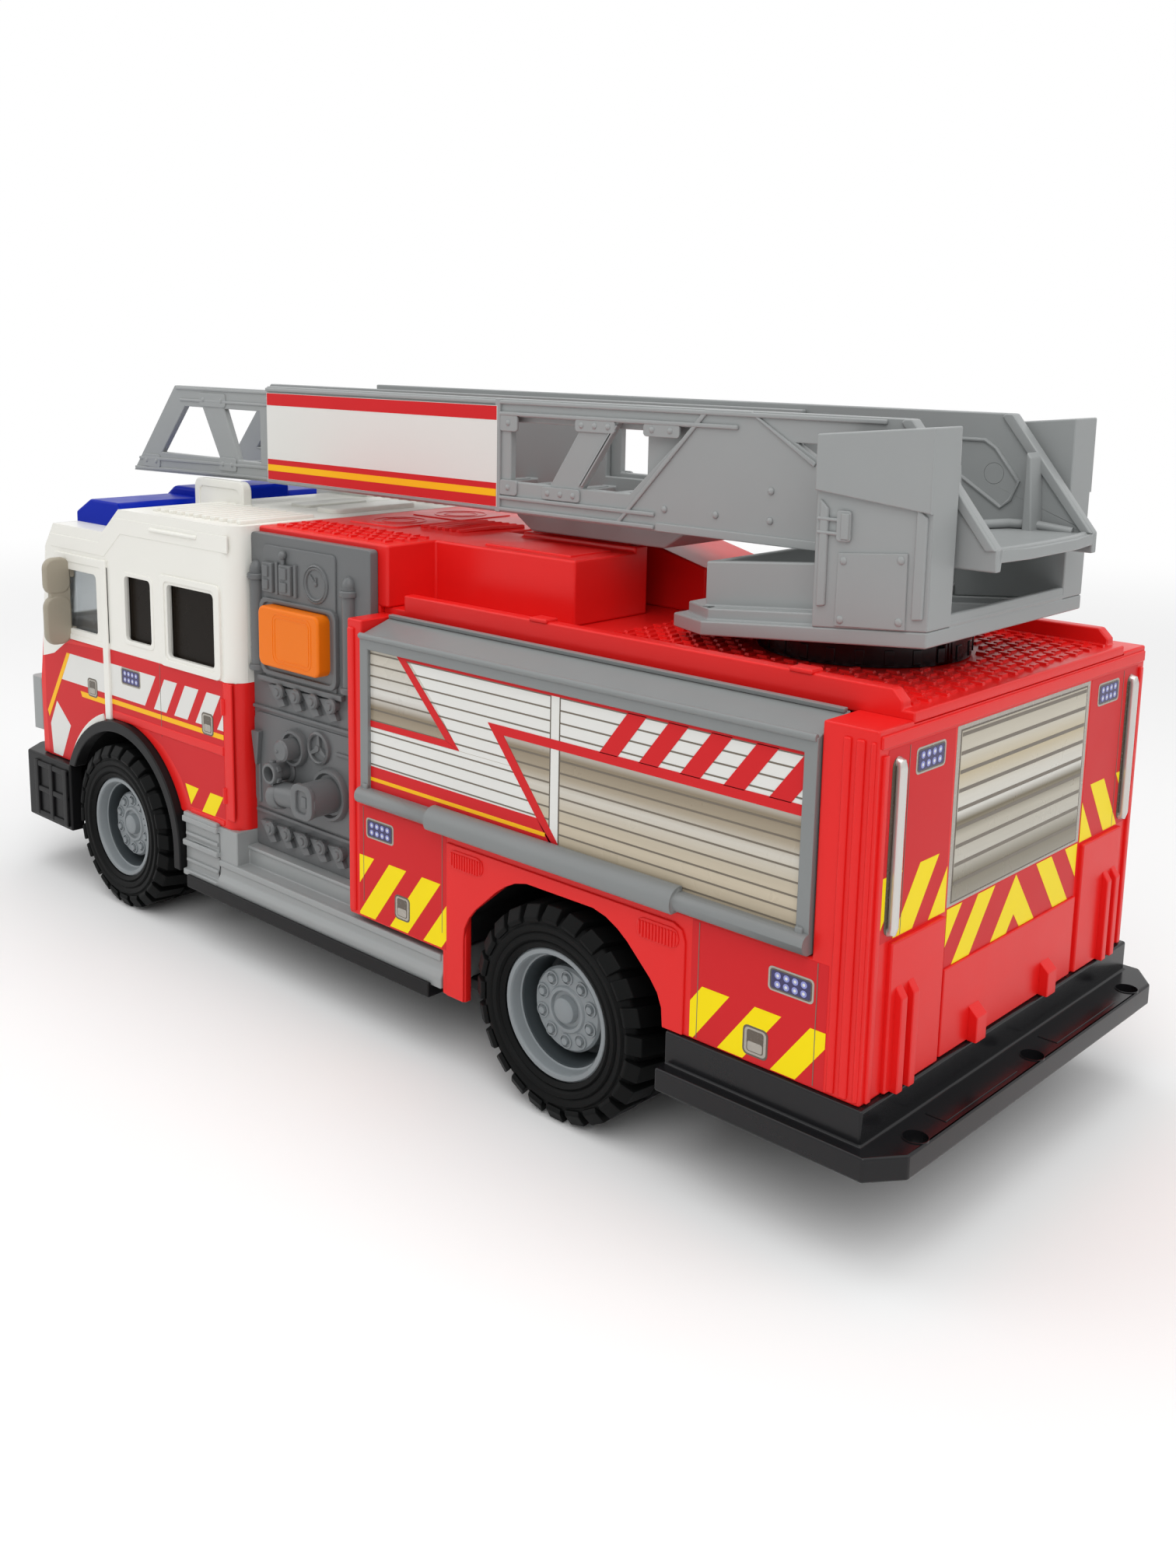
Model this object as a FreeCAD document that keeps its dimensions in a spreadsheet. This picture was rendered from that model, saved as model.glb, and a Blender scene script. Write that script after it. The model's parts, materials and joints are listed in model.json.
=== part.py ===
"""Toy ladder fire engine, modelled as separate pieces on one parametric document.

Frame: +X towards the cab, +Y to the left side, +Z up, millimetres. The origin lies on the
ground under the middle of the whole toy. Stations along the toy are measured from the rear
axle, and at() turns a station into an X of the frame.
"""
import FreeCAD, Part
import math
import os

import Sketcher

V = FreeCAD.Vector

# Driving dimensions in millimetres; each becomes a named cell of the spreadsheet.
SIZES = {
    # wheels and axles
    "wheelbase": 200.0,
    "front_overhang": 68.4,
    "rear_overhang": 95.7,
    "tyre_radius": 27.9,
    "tyre_shoulder_radius": 24.9,
    "tyre_width": 26.0,
    "tyre_shoulder": 1.8,
    "wheel_face": 64.8,
    "rim_radius": 16.9,
    "rim_lip": 2.0,
    "rim_inset": 1.4,
    "rim_dish": 7.5,
    "rim_hub_radius": 11.0,
    "rim_hub_height": 3.0,
    "rim_cap_radius": 4.6,
    "rim_cap_height": 1.6,
    "rim_web": 2.4,
    "axle_radius": 2.2,
    "running_clearance": 0.08,
    "moving_gap": 0.4,
    # chassis tub
    "chassis_bottom": 17.8,
    "chassis_plate": 3.2,
    "tub_half_width": 36.0,
    "tub_wall": 2.4,
    "tub_back": -80.6,
    "tub_nose": 250.0,
    "waist_half_width": 52.0,
    "waist_back": 36.5,
    "waist_front": 163.6,
    "sill_back": 45.0,
    "sill_front": 160.0,
    "sill_proud": 1.4,
    "sill_lip": 1.1,
    "sill_lip_height": 4.2,
    # rear step
    "step_bottom": 22.8,
    "step_top": 28.4,
    "step_proud": 4.4,
    "step_corner_x": 6.1,
    "step_corner_y": 7.8,
    "step_front": -35.0,
    "riser_proud": 1.0,
    "riser_back": -86.8,
    "riser_wall": 2.6,
    "step_hole_radius": 2.7,
    "step_hole_spacing": 52.1,
    "step_hole_set_in": 3.0,
    # load body
    "body_half_width": 63.0,
    "body_wall": 2.4,
    "body_back": -85.5,
    "body_front": 79.4,
    "body_bottom": 36.2,
    "skirt_bottom": 32.0,
    "leg_front": 41.0,
    "leg_bottom": 20.1,
    "arch_back": -33.4,
    "arch_front": 32.2,
    "arch_shoulder": 44.0,
    "arch_top": 58.6,
    "arch_crown_back": -17.3,
    "arch_crown_front": 15.1,
    "arch_liner": 1.5,
    "door_sill": 65.0,
    "door_back": -72.5,
    "door_front": 73.4,
    "deck_bottom": 115.0,
    "deck_top": 117.5,
    "deck_half_width": 50.0,
    "curb_width": 3.6,
    "curb_top": 121.5,
    "curb_back": -82.6,
    "curb_front": 71.0,
    "curb_chamfer": 2.4,
    "locker_floor": 62.0,
    "locker_wall": 1.8,
    "locker_depth": 41.0,
    "cheek_bottom": 104.0,
    "post_top": 115.8,
    # locker doors
    "door_thickness": 3.0,
    "door_proud": 1.0,
    "door_top": 112.0,
    "flange_inner": 52.2,
    "flange_top": 115.8,
    "flange_thickness": 2.2,
    "hinge_y": 55.0,
    "hinge_z": 112.2,
    "hinge_pin_radius": 1.2,
    "hinge_pin_length": 2.6,
    "shutter_margin": 3.2,
    "shutter_bottom": 70.1,
    "shutter_top": 110.5,
    "shutter_thickness": 1.6,
    "handle_radius": 2.3,
    "handle_z": 67.9,
    "grip_radius": 3.6,
    "grip_back": -38.0,
    "grip_front": 43.5,
    # rear handles
    "rear_handle_y": 55.4,
    "rear_handle_bottom": 72.0,
    "rear_handle_top": 108.6,
    "rear_handle_width": 2.2,
    "rear_handle_proud": 1.5,
    # hose bed behind the cab
    "bed_top": 134.7,
    "bed_wall": 2.2,
    "bed_back": 75.7,
    "hump_half_width": 34.0,
    "hump_inner": 10.3,
    "hump_back": 22.7,
    "rib_inner": 5.0,
    "rib_top": 136.3,
    "rib_front": 65.0,
    "ramp_back": 11.5,
    "ramp_low": 130.0,
    "ramp_inner": 6.0,
    # pump panels
    "panel_inset": 7.0,
    "panel_thickness": 3.0,
    "panel_bottom": 36.2,
    "panel_top": 133.2,
    "post_radius": 2.2,
    "post_low": 92.0,
    "post_high": 122.4,
    "valve_radius": 2.2,
    "valve_reach": 3.4,
    "valve_pitch": 8.2,
    "upper_valve_x": 94.9,
    "upper_valve_z": 86.5,
    "lower_valve_x": 92.2,
    "lower_valve_z": 43.2,
    "post_front_x": 132.3,
    "post_back_x": 88.7,
    "gauge_x": 103.0,
    "gauge_z": 121.1,
    "gauge_radius": 5.7,
    "gauge_reach": 1.2,
    "intake_x": 113.4,
    "intake_z": 71.2,
    "intake_radius": 5.5,
    "intake_reach": 2.6,
    "intake_knob_x": 113.4,
    "intake_knob_z": 71.2,
    "intake_knob_radius": 3.3,
    "intake_knob_reach": 6.8,
    "hand_wheel_x": 102.4,
    "hand_wheel_z": 73.2,
    "hand_wheel_radius": 4.8,
    "hand_wheel_reach": 1.2,
    "drain_x": 118.4,
    "drain_z": 63.4,
    "drain_radius": 3.2,
    "drain_reach": 7.4,
    "outlet_flange_x": 97.0,
    "outlet_flange_z": 60.4,
    "outlet_flange_radius": 7.8,
    "outlet_flange_reach": 2.4,
    "outlet_cap_x": 97.0,
    "outlet_cap_z": 60.4,
    "outlet_cap_radius": 5.2,
    "outlet_cap_reach": 11.8,
    "elbow_x": 116.2,
    "elbow_z": 56.6,
    "elbow_radius": 4.0,
    "elbow_reach": 5.6,
    "button_bottom": 95.0,
    "button_top": 113.0,
    "button_back": 97.0,
    "button_front": 125.7,
    "button_proud": 5.0,
    "button_corner": 1.7,
    # running boards
    "board_bottom": 21.0,
    "board_tread": 30.2,
    "board_top": 35.9,
    "board_inset": 1.0,
    "board_riser_proud": 2.9,
    "toe_proud": 0.2,
    "toe_height": 3.0,
    "toe_slope": 2.0,
    "column_front": 144.5,
    "block_proud": 0.3,
    "block_top": 40.6,
    "block_rib": 1.4,
    # cab
    "cab_inset": 1.5,
    "cab_wall": 2.0,
    "cab_back": 135.2,
    "cab_bottom": 41.0,
    "cab_face": 254.8,
    "cab_face_bottom": 42.7,
    "cab_face_top": 69.6,
    "cab_waist": 87.2,
    "cab_waist_front": 251.6,
    "cab_corner_radius": 6.0,
    "roof_top": 134.8,
    "roof_front": 198.0,
    "header_back": 208.5,
    "header_top": 126.4,
    "header_front": 241.0,
    "brow_z": 118.0,
    "brow_front": 247.6,
    "front_arch_radius": 36.1,
    "pane_thickness": 1.2,
    "pane_margin": 1.5,
    "windscreen_half_width": 50.0,
    "windscreen_sill": 5.8,
    "windscreen_head": 17.8,
    "cab_floor": 65.0,
    "cab_floor_plate": 2.0,
    "seat_inset": 6.0,
    "bench_back": 140.0,
    "bench_front": 158.0,
    "bench_top": 82.0,
    "bench_rest_back": 138.2,
    "bench_rest_front": 142.0,
    "bench_rest_top": 106.0,
    "seat_back": 184.0,
    "seat_front": 204.0,
    "seat_top": 82.0,
    "seat_rest_back": 182.0,
    "seat_rest_front": 186.0,
    "seat_rest_top": 108.0,
    "dash_back": 232.0,
    "dash_front": 246.5,
    "dash_top": 92.0,
    # cab side windows: stations, sill above the waist and head below the roof
    "rear_window_back": 144.7,
    "rear_window_front": 170.8,
    "rear_window_sill": 3.2,
    "rear_window_head": 21.0,
    "middle_window_back": 180.0,
    "middle_window_front": 196.0,
    "middle_window_sill": 4.8,
    "middle_window_head": 21.2,
    "door_window_back": 213.0,
    "door_window_front": 235.2,
    "door_window_sill": 3.6,
    "door_window_head": 23.0,
    "light_bar_half_width": 52.0,
    "light_bar_back": 214.0,
    "light_bar_front": 242.0,
    "light_bar_height": 8.2,
    "light_bar_hump": 3.0,
    "light_bar_hump_half": 19.0,
    "light_bar_lip": 2.0,
    "light_bar_slope": 6.0,
    "light_bar_hump_slope": 3.0,
    "cradle_outer": 27.5,
    "cradle_wall": 3.4,
    "cradle_back": 177.0,
    "cradle_front": 205.6,
    "cradle_top": 142.9,
    "mirror_station": 231.0,
    "mirror_thickness": 3.0,
    "mirror_reach": 9.4,
    "mirror_bottom": 85.5,
    "mirror_top": 116.0,
    "mirror_corner": 4.0,
    "mirror_notch": 1.8,
    "grille_front": 263.0,
    "grille_slot": 9.0,
    "grille_pitch": 15.0,
    "grille_edge": 4.0,
    "grille_corner": 3.0,
    "grille_bottom": 50.5,
    "grille_top": 69.5,
    "bumper_bottom": 18.6,
    "bumper_top": 42.6,
    "bumper_back": 232.0,
    "bumper_proud": 2.8,
    "bumper_corner": 262.0,
    "bumper_nose_inset": 8.3,
    "bumper_bar": 5.0,
    "trim_width": 3.7,
    "trim_proud": 2.7,
    "trim_leg_bottom": 22.0,
    # battery
    "battery_back": 40.0,
    "battery_front": 100.0,
    "battery_half_width": 30.0,
    "battery_height": 15.0,
    "cover_thickness": 1.0,
    # turntable; heights are those over its centre, and its levels drop towards the cab
    "turn_x": -42.0,
    "turn_slope": 0.095,
    "ring_radius": 25.5,
    "ring_gap": 0.3,
    "spigot_radius": 7.0,
    "turn_bottom": 124.0,
    "turn_first_step": 3.5,
    "turn_second_step": 2.7,
    "turn_front": -3.0,
    "turn_back": -79.4,
    "turn_half_width": 36.5,
    "turn_front_half": 25.3,
    "turn_chamfer": 17.2,
    "turn_inset": 2.6,
    "pit_floor": 1.6,
    "pit_half_width": 25.5,
    "wall_half_width": 29.6,
    "wall_thickness": 2.4,
    "wall_front": -16.0,
    "wall_height": 10.8,
    "pod_front": -51.0,
    "pod_inner": 26.4,
    "pod_height": 42.6,
    "pod_wall": 2.4,
    "pod_flare": 1.2,
    "pod_flare_front": 158.8,
    "pod_flare_back": 155.9,
    "frame_rail_top": 132.2,
    "frame_depth": 3.0,
    # ladder
    "lift_x": -62.0,
    "lift_z": 160.0,
    "lift_pin_radius": 2.5,
    "rail_outer": 24.0,
    "rail_thickness": 2.2,
    "rail_bottom": 143.3,
    "rail_top": 174.4,
    "rail_front": 168.0,
    "rail_back_top": -66.0,
    "tray_back": -87.6,
    "tray_thickness": 2.6,
    "tray_rise": 1.9,
    "tray_bulge": 1.4,
    "tray_front": -58.0,
    "chord": 4.8,
    "web_low": 8.7,
    "box_back": 56.4,
    "sign_back": 61.0,
    "strut_front": 41.5,
    "strut_width": 11.5,
    "strut_lean": 12.0,
    "plate_front": 13.6,
    "plate_lean": 19.3,
    "plate_back": -36.5,
    "eye_length": 16.5,
    "eye_depth": 9.2,
    "rung_width": 5.0,
    "rung_height": 2.2,
    "rung_pitch": 16.0,
    "rung_start": -40.0,
    "sign_proud": 0.8,
    "keel_half_width": 14.0,
    "keel_back": 4.0,
    "keel_front": 64.0,
    "keel_depth": 5.9,
    "keel_slope": 6.0,
    "slide_gap": 0.3,
    "fly_back": -8.0,
    "fly_thickness": 2.2,
    "fly_drop": 1.4,
    "fly_tip_bottom": 254.0,
    "fly_tip_top": 225.6,
    "fly_sag": 1.6,
    "fly_chord_low": 7.6,
    "tip_gap_back_low_back": 175.5,
    "tip_gap_back_low_front": 188.0,
    "tip_gap_back_high_front": 196.0,
    "tip_gap_back_high_back": 175.5,
    "tip_gap_front_low_back": 199.0,
    "tip_gap_front_low_front": 234.9,
    "tip_gap_front_high_front": 219.5,
    "tip_gap_front_high_back": 208.7,
    "fly_chord_high": 7.0,
    "fly_window_back": 10.0,
    "fly_window_front": 60.0,
    "fly_window_low": 5.0,
}


class Size:
    """A length with the spreadsheet expression that gives it."""

    def __init__(self, value, text):
        self.value = value
        self.text = text

    def _join(self, other, sign, value):
        return Size(value, "(%s %s %s)" % (self.text, sign, as_size(other).text))

    def __add__(self, other):
        return self._join(other, "+", self.value + as_size(other).value)

    def __sub__(self, other):
        return self._join(other, "-", self.value - as_size(other).value)

    def __mul__(self, other):
        return self._join(other, "*", self.value * as_size(other).value)

    def __truediv__(self, other):
        return self._join(other, "/", self.value / as_size(other).value)

    def __radd__(self, other):
        return as_size(other) + self

    def __rsub__(self, other):
        return as_size(other) - self

    def __rmul__(self, other):
        return as_size(other) * self

    def __neg__(self):
        return Size(-self.value, "(-%s)" % self.text)


def as_size(value):
    """Take a plain number as a Size."""
    if isinstance(value, Size):
        return value
    return Size(float(value), "%.6f" % value)


doc = FreeCAD.newDocument("fire_engine")
sheet = doc.addObject("Spreadsheet::Sheet", "Sizes")
for line, (alias, number) in enumerate(SIZES.items(), start=1):
    sheet.set("A%d" % line, alias)
    sheet.set("B%d" % line, str(number))
    sheet.setAlias("B%d" % line, alias)
doc.recompute()


class Cells:
    """The spreadsheet's cells as Sizes, by alias."""

    def __getattr__(self, alias):
        return Size(float(sheet.get(alias)), "Sizes." + alias)


c = Cells()
REAR = (c.rear_overhang - c.wheelbase - c.front_overhang) / 2
FRONT = REAR + c.wheelbase
# Outer faces of the cab's sides and of the bumper.
CAB_HALF = c.body_half_width - c.cab_inset
BUMPER_HALF = CAB_HALF + c.bumper_proud
# Outer face of the pump panels, and half the width of the housing between them.
PANEL_FACE = CAB_HALF - c.panel_inset
BED_HALF = PANEL_FACE - c.panel_thickness


def at(station):
    """X of a station measured from the rear axle."""
    return REAR + station


def bind(item, name, value):
    """Bind one property of an object to its size."""
    item.setExpression(name, as_size(value).text)


def place(item, x=0, y=0, z=0):
    """Bind where an object stands."""
    bind(item, "Placement.Base.x", x)
    bind(item, "Placement.Base.y", y)
    bind(item, "Placement.Base.z", z)


TURNS = {
    "X": FreeCAD.Rotation(V(0, 1, 0), 90),
    "Y": FreeCAD.Rotation(V(1, 0, 0), -90),
    "Z": FreeCAD.Rotation(),
}


def block(name, x, y, z):
    """Part::Box between two corners, each axis given as (low, high)."""
    item = doc.addObject("Part::Box", name)
    for side, (low, high) in (("Length", x), ("Width", y), ("Height", z)):
        bind(item, side, high - as_size(low))
    place(item, x[0], y[0], z[0])
    return item


def rod(name, axis, centre, span, radius):
    """Part::Cylinder along an axis, centre given on the other two axes in X, Y, Z order."""
    item = doc.addObject("Part::Cylinder", name)
    item.Placement = FreeCAD.Placement(V(), TURNS[axis])
    bind(item, "Radius", radius)
    bind(item, "Height", span[1] - as_size(span[0]))
    spot = list(centre)
    spot.insert("XYZ".index(axis), span[0])
    place(item, *spot)
    return item


def fuse(name, *items):
    """Part::MultiFuse of several pieces."""
    item = doc.addObject("Part::MultiFuse", name)
    item.Shapes = list(items)
    return item


def cut(name, base, *tools):
    """Part::Cut of the tools from the base."""
    item = doc.addObject("Part::Cut", name)
    item.Base = base
    item.Tool = tools[0] if len(tools) == 1 else fuse(name + "_tools", *tools)
    return item


def mirror(name, item):
    """The same piece on the other side of the toy."""
    other = doc.addObject("Part::Mirroring", name)
    other.Source = item
    other.Normal = V(0, 1, 0)
    return other


def pair(name, item):
    """One node of two like pieces, left and right."""
    both = doc.addObject("Part::Compound", name)
    both.Links = [item, mirror(name + "_right", item)]
    return both


# Sketch planes: the origin plane's role and the sign of its normal along the named axis.
PLANES = {"XY": ("XY_Plane", 1), "XZ": ("XZ_Plane", -1), "YZ": ("YZ_Plane", 1)}


class Piece:
    """A PartDesign body, built feature by feature from bound sketches."""

    def __init__(self, name):
        self.body = doc.addObject("PartDesign::Body", name)
        self.name = name

    def sketch(self, plane, loops, middle=0):
        """Sketch of closed outlines; a loop is a list of points or ("circle", x, y, radius)."""
        role, sign = PLANES[plane]
        item = self.body.newObject("Sketcher::SketchObject", self.name + "_sketch")
        base = [f for f in self.body.Origin.OriginFeatures if f.Role == role][0]
        item.AttachmentSupport = [(base, "")]
        item.MapMode = "FlatFace"
        bind(item, "AttachmentOffset.Base.z", as_size(middle) * sign)
        for loop in loops:
            if loop[0] == "circle":
                self._circle(item, *loop[1:])
            else:
                self._outline(item, loop)
        return item

    @staticmethod
    def _fix(item, edge, point, x, y):
        """Tie one sketch point to the origin by its two bound distances."""
        for kind, value in (("DistanceX", x), ("DistanceY", y)):
            value = as_size(value)
            number = item.addConstraint(Sketcher.Constraint(kind, -1, 1, edge, point, value.value))
            item.setExpression("Constraints[%d]" % number, value.text)

    def _circle(self, item, x, y, radius):
        x, y, radius = as_size(x), as_size(y), as_size(radius)
        ring = Part.Circle(V(x.value, y.value, 0), V(0, 0, 1), radius.value)
        edge = item.addGeometry(ring, False)
        self._fix(item, edge, 3, x, y)
        number = item.addConstraint(Sketcher.Constraint("Radius", edge, radius.value))
        item.setExpression("Constraints[%d]" % number, radius.text)

    def _outline(self, item, points):
        points = [(as_size(x), as_size(y)) for x, y in points]
        spots = [V(x.value, y.value, 0) for x, y in points]
        first = item.GeometryCount
        count = len(points)
        for number in range(count):
            side = Part.LineSegment(spots[number], spots[(number + 1) % count])
            item.addGeometry(side, False)
        for number in range(count):
            following = first + (number + 1) % count
            item.addConstraint(Sketcher.Constraint("Coincident", first + number, 2, following, 1))
        for number, (x, y) in enumerate(points):
            self._fix(item, first + number, 1, x, y)

    def _swept(self, kind, plane, loops, span):
        low, high = as_size(span[0]), as_size(span[1])
        profile = self.sketch(plane, loops, (low + high) / 2)
        item = self.body.newObject(kind, self.name + "_feature")
        item.Profile = profile
        item.SideType = "Symmetric"
        bind(item, "Length", high - low)
        return self

    def pad(self, plane, loops, span):
        """Add material over a span along the sketch plane's axis."""
        return self._swept("PartDesign::Pad", plane, loops, span)

    def pocket(self, plane, loops, span):
        """Remove material over a span along the sketch plane's axis."""
        return self._swept("PartDesign::Pocket", plane, loops, span)

    def turn(self, plane, points, axis):
        """Revolve a profile about one of the body's own axes."""
        item = self.body.newObject("PartDesign::Revolution", self.name + "_turn")
        profile = self.sketch(plane, [points])
        item.Profile = profile
        role = axis + "_Axis"
        line = [f for f in self.body.Origin.OriginFeatures if f.Role == role][0]
        item.ReferenceAxis = (line, [""])
        item.Angle = 360
        self.body.Tip = item
        return self

    def round(self, radius, direction, chosen, kind="PartDesign::Fillet"):
        """Fillet or chamfer the straight edges along a direction that chosen() picks."""
        doc.recompute()
        tip = self.body.Tip
        names = []
        for number, edge in enumerate(tip.Shape.Edges, start=1):
            if len(edge.Vertexes) != 2 or edge.Curve.TypeId != "Part::GeomLine":
                continue
            along = edge.Vertexes[1].Point - edge.Vertexes[0].Point
            if abs(along.normalize().dot(direction)) > 0.999 and chosen(edge.CenterOfMass):
                names.append("Edge%d" % number)
        if not names:
            raise RuntimeError("no edge to round on " + self.name)
        item = self.body.newObject(kind, self.name + "_edge")
        item.Base = (tip, names)
        bind(item, "Radius" if kind.endswith("Fillet") else "Size", radius)
        return self


def rectangle(x, y):
    """Corner points of a rectangle, each side given as (low, high)."""
    return [(x[0], y[0]), (x[1], y[0]), (x[1], y[1]), (x[0], y[1])]


def both_sides(points):
    """Close a plan outline given from back to front on the left with its mirror image."""
    return list(points) + [(x, -as_size(y)) for x, y in reversed(points)]


NODES = {}


def keep(item):
    """Register a finished piece under its label."""
    NODES[item.Label] = item
    return item


# ---------------------------------------------------------------- wheels and axles

def wheel_pieces(end, axle_x):
    """One axle with its two rims and two tyres."""
    tyre = Piece(end + "_tyre_left")
    inner = c.wheel_face - c.tyre_width
    tyre.turn("YZ", [
        (inner, c.rim_radius),
        (inner, c.tyre_shoulder_radius),
        (inner + c.tyre_shoulder, c.tyre_radius),
        (c.wheel_face - c.tyre_shoulder, c.tyre_radius),
        (c.wheel_face, c.tyre_shoulder_radius),
        (c.wheel_face, c.rim_radius),
    ], "Y")
    place(tyre.body, axle_x, 0, c.tyre_radius)
    keep(pair(end + "_tyres", tyre.body))

    rim = Piece(end + "_rim_left")
    lip = c.wheel_face - c.rim_inset
    dish = lip - c.rim_dish
    hub = dish + c.rim_hub_height
    cap = hub + c.rim_cap_height
    rim.turn("YZ", [
        (inner, c.rim_radius),
        (lip, c.rim_radius),
        (lip, c.rim_radius - c.rim_lip),
        (dish, c.rim_hub_radius + c.rim_lip),
        (dish, c.rim_hub_radius),
        (hub, c.rim_hub_radius - 1),
        (hub, c.rim_cap_radius),
        (cap, c.rim_cap_radius),
        (cap, c.axle_radius),
        (dish - c.rim_web, c.axle_radius),
        (dish - c.rim_web, c.rim_radius - c.rim_lip),
        (inner, c.rim_radius - c.rim_lip),
    ], "Y")
    place(rim.body, axle_x, 0, c.tyre_radius)
    keep(pair(end + "_rims", rim.body))

    reach = lip - c.rim_dish + c.rim_hub_height
    keep(rod(end + "_axle", "Y", (axle_x, c.tyre_radius), (-reach, reach), c.axle_radius))


wheel_pieces("rear", REAR)
wheel_pieces("front", FRONT)


# ---------------------------------------------------------------- chassis

def chassis():
    """Black tub that carries the axles, with the wide waist between the wheels."""
    plate_top = c.chassis_bottom + c.chassis_plate
    piece = Piece("chassis_base")
    plan = both_sides([
        (at(c.tub_back), c.tub_half_width),
        (at(c.waist_back), c.tub_half_width),
        (at(c.waist_back), c.waist_half_width),
        (at(c.waist_front), c.waist_half_width),
        (at(c.waist_front), c.tub_half_width),
        (at(c.tub_nose), c.tub_half_width),
    ])
    piece.pad("XY", [plan], (c.chassis_bottom, plate_top))
    outer = rectangle((at(c.tub_back), at(c.tub_nose)), (-c.tub_half_width, c.tub_half_width))
    room = c.tub_half_width - c.tub_wall
    inner = rectangle((at(c.tub_back + c.tub_wall), at(c.tub_nose - c.tub_wall)), (-room, room))
    piece.pad("XY", [outer, inner], (plate_top, c.body_bottom))
    edge = c.body_half_width + c.sill_proud
    sill = [
        (c.waist_half_width, c.chassis_bottom),
        (edge, c.chassis_bottom),
        (edge, c.chassis_bottom + c.sill_lip_height),
        (edge - c.sill_lip, c.chassis_bottom + c.sill_lip_height),
        (edge - c.sill_lip, plate_top),
        (c.waist_half_width, plate_top),
    ]
    other = [(-y, z) for y, z in reversed(sill)]
    piece.pad("YZ", [sill], (at(c.sill_back), at(c.sill_front)))
    piece.pad("YZ", [other], (at(c.sill_back), at(c.sill_front)))
    bore = c.axle_radius + c.running_clearance
    holes = [("circle", REAR, c.tyre_radius, bore), ("circle", FRONT, c.tyre_radius, bore)]
    piece.pocket("XZ", holes, (-c.tub_half_width - 1, c.tub_half_width + 1))
    keep(piece.body)

    top = plate_top + c.battery_height
    across = (-c.battery_half_width, c.battery_half_width)
    along = (at(c.battery_back), at(c.battery_front))
    keep(block("battery_box", along, across, (plate_top, top)))
    keep(block("battery_cover", along, across,
               (c.chassis_bottom - c.cover_thickness, c.chassis_bottom)))


def rear_step():
    """Black step behind the body with its riser and three holes."""
    piece = Piece("rear_step")
    back = -c.rear_overhang
    half = c.body_half_width + c.step_proud
    riser = c.body_half_width + c.riser_proud
    plan = both_sides([
        (at(back), half - c.step_corner_y),
        (at(back + c.step_corner_x), half),
        (at(c.step_front), half),
        (at(c.step_front), c.tub_half_width),
        (at(c.tub_back), c.tub_half_width),
    ])
    piece.pad("XY", [plan], (c.step_bottom, c.step_top))
    wall = both_sides([
        (at(c.riser_back), riser),
        (at(c.step_front), riser),
        (at(c.step_front), riser - c.riser_wall),
        (at(c.riser_back + c.riser_wall), riser - c.riser_wall),
    ])
    piece.pad("XY", [wall], (c.step_top, c.body_bottom))
    row = at(back + c.step_hole_set_in)
    holes = [("circle", row, y, c.step_hole_radius)
             for y in (-c.step_hole_spacing, 0, c.step_hole_spacing)]
    piece.pocket("XY", holes, (c.step_bottom - 1, c.step_top + 1))
    keep(piece.body)


def bumper():
    """Black bumper wrapped round the cab's nose."""
    piece = Piece("front_bumper")
    nose = c.wheelbase + c.front_overhang
    inner = BUMPER_HALF - c.bumper_bar
    piece.pad("XY", [both_sides([
        (at(c.bumper_back), BUMPER_HALF),
        (at(c.bumper_corner), BUMPER_HALF),
        (at(nose), BUMPER_HALF - c.bumper_nose_inset),
    ])], (c.bumper_bottom, c.bumper_top))
    piece.pocket("XY", [both_sides([
        (at(c.bumper_back - 1), inner),
        (at(c.tub_nose), inner),
    ])], (c.bumper_bottom - 1, c.bumper_top + 1))
    keep(piece.body)


def running_boards():
    """Grey steps under the pump panels, the corner column and the ribbed block by the wheel."""
    piece = Piece("running_board_left")
    plate_top = c.chassis_bottom + c.chassis_plate
    edge = c.body_half_width - c.board_inset
    toe = c.body_half_width + c.toe_proud
    block_half = c.body_half_width + c.block_proud
    tread = [
        (c.tub_half_width, plate_top),
        (toe, plate_top),
        (toe, c.board_bottom + c.toe_height),
        (edge, c.board_bottom + c.toe_height + c.toe_slope),
        (edge, c.board_tread),
        (c.tub_half_width, c.board_tread),
    ]
    piece.pad("YZ", [tread], (at(c.leg_front + c.moving_gap), at(c.column_front)))
    riser = rectangle((BED_HALF, PANEL_FACE + c.board_riser_proud), (c.board_tread, c.board_top))
    piece.pad("YZ", [riser], (at(c.body_front), at(c.column_front)))
    column = rectangle((at(c.cab_back), at(c.column_front)), (BED_HALF, edge))
    piece.pad("XY", [column], (c.board_tread, c.cab_bottom))
    face = rectangle((at(c.column_front), at(c.waist_front)),
                     (c.tub_half_width, block_half - c.block_rib))
    piece.pad("XY", [face], (plate_top, c.block_top))
    for low in (plate_top, c.block_top / 2 + plate_top / 2, c.block_top - 2):
        rib = rectangle((at(c.column_front), at(c.waist_front)),
                        (block_half - c.block_rib - 1, block_half))
        piece.pad("XY", [rib], (low, low + 2))
    keep(pair("running_boards", piece.body))


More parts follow.
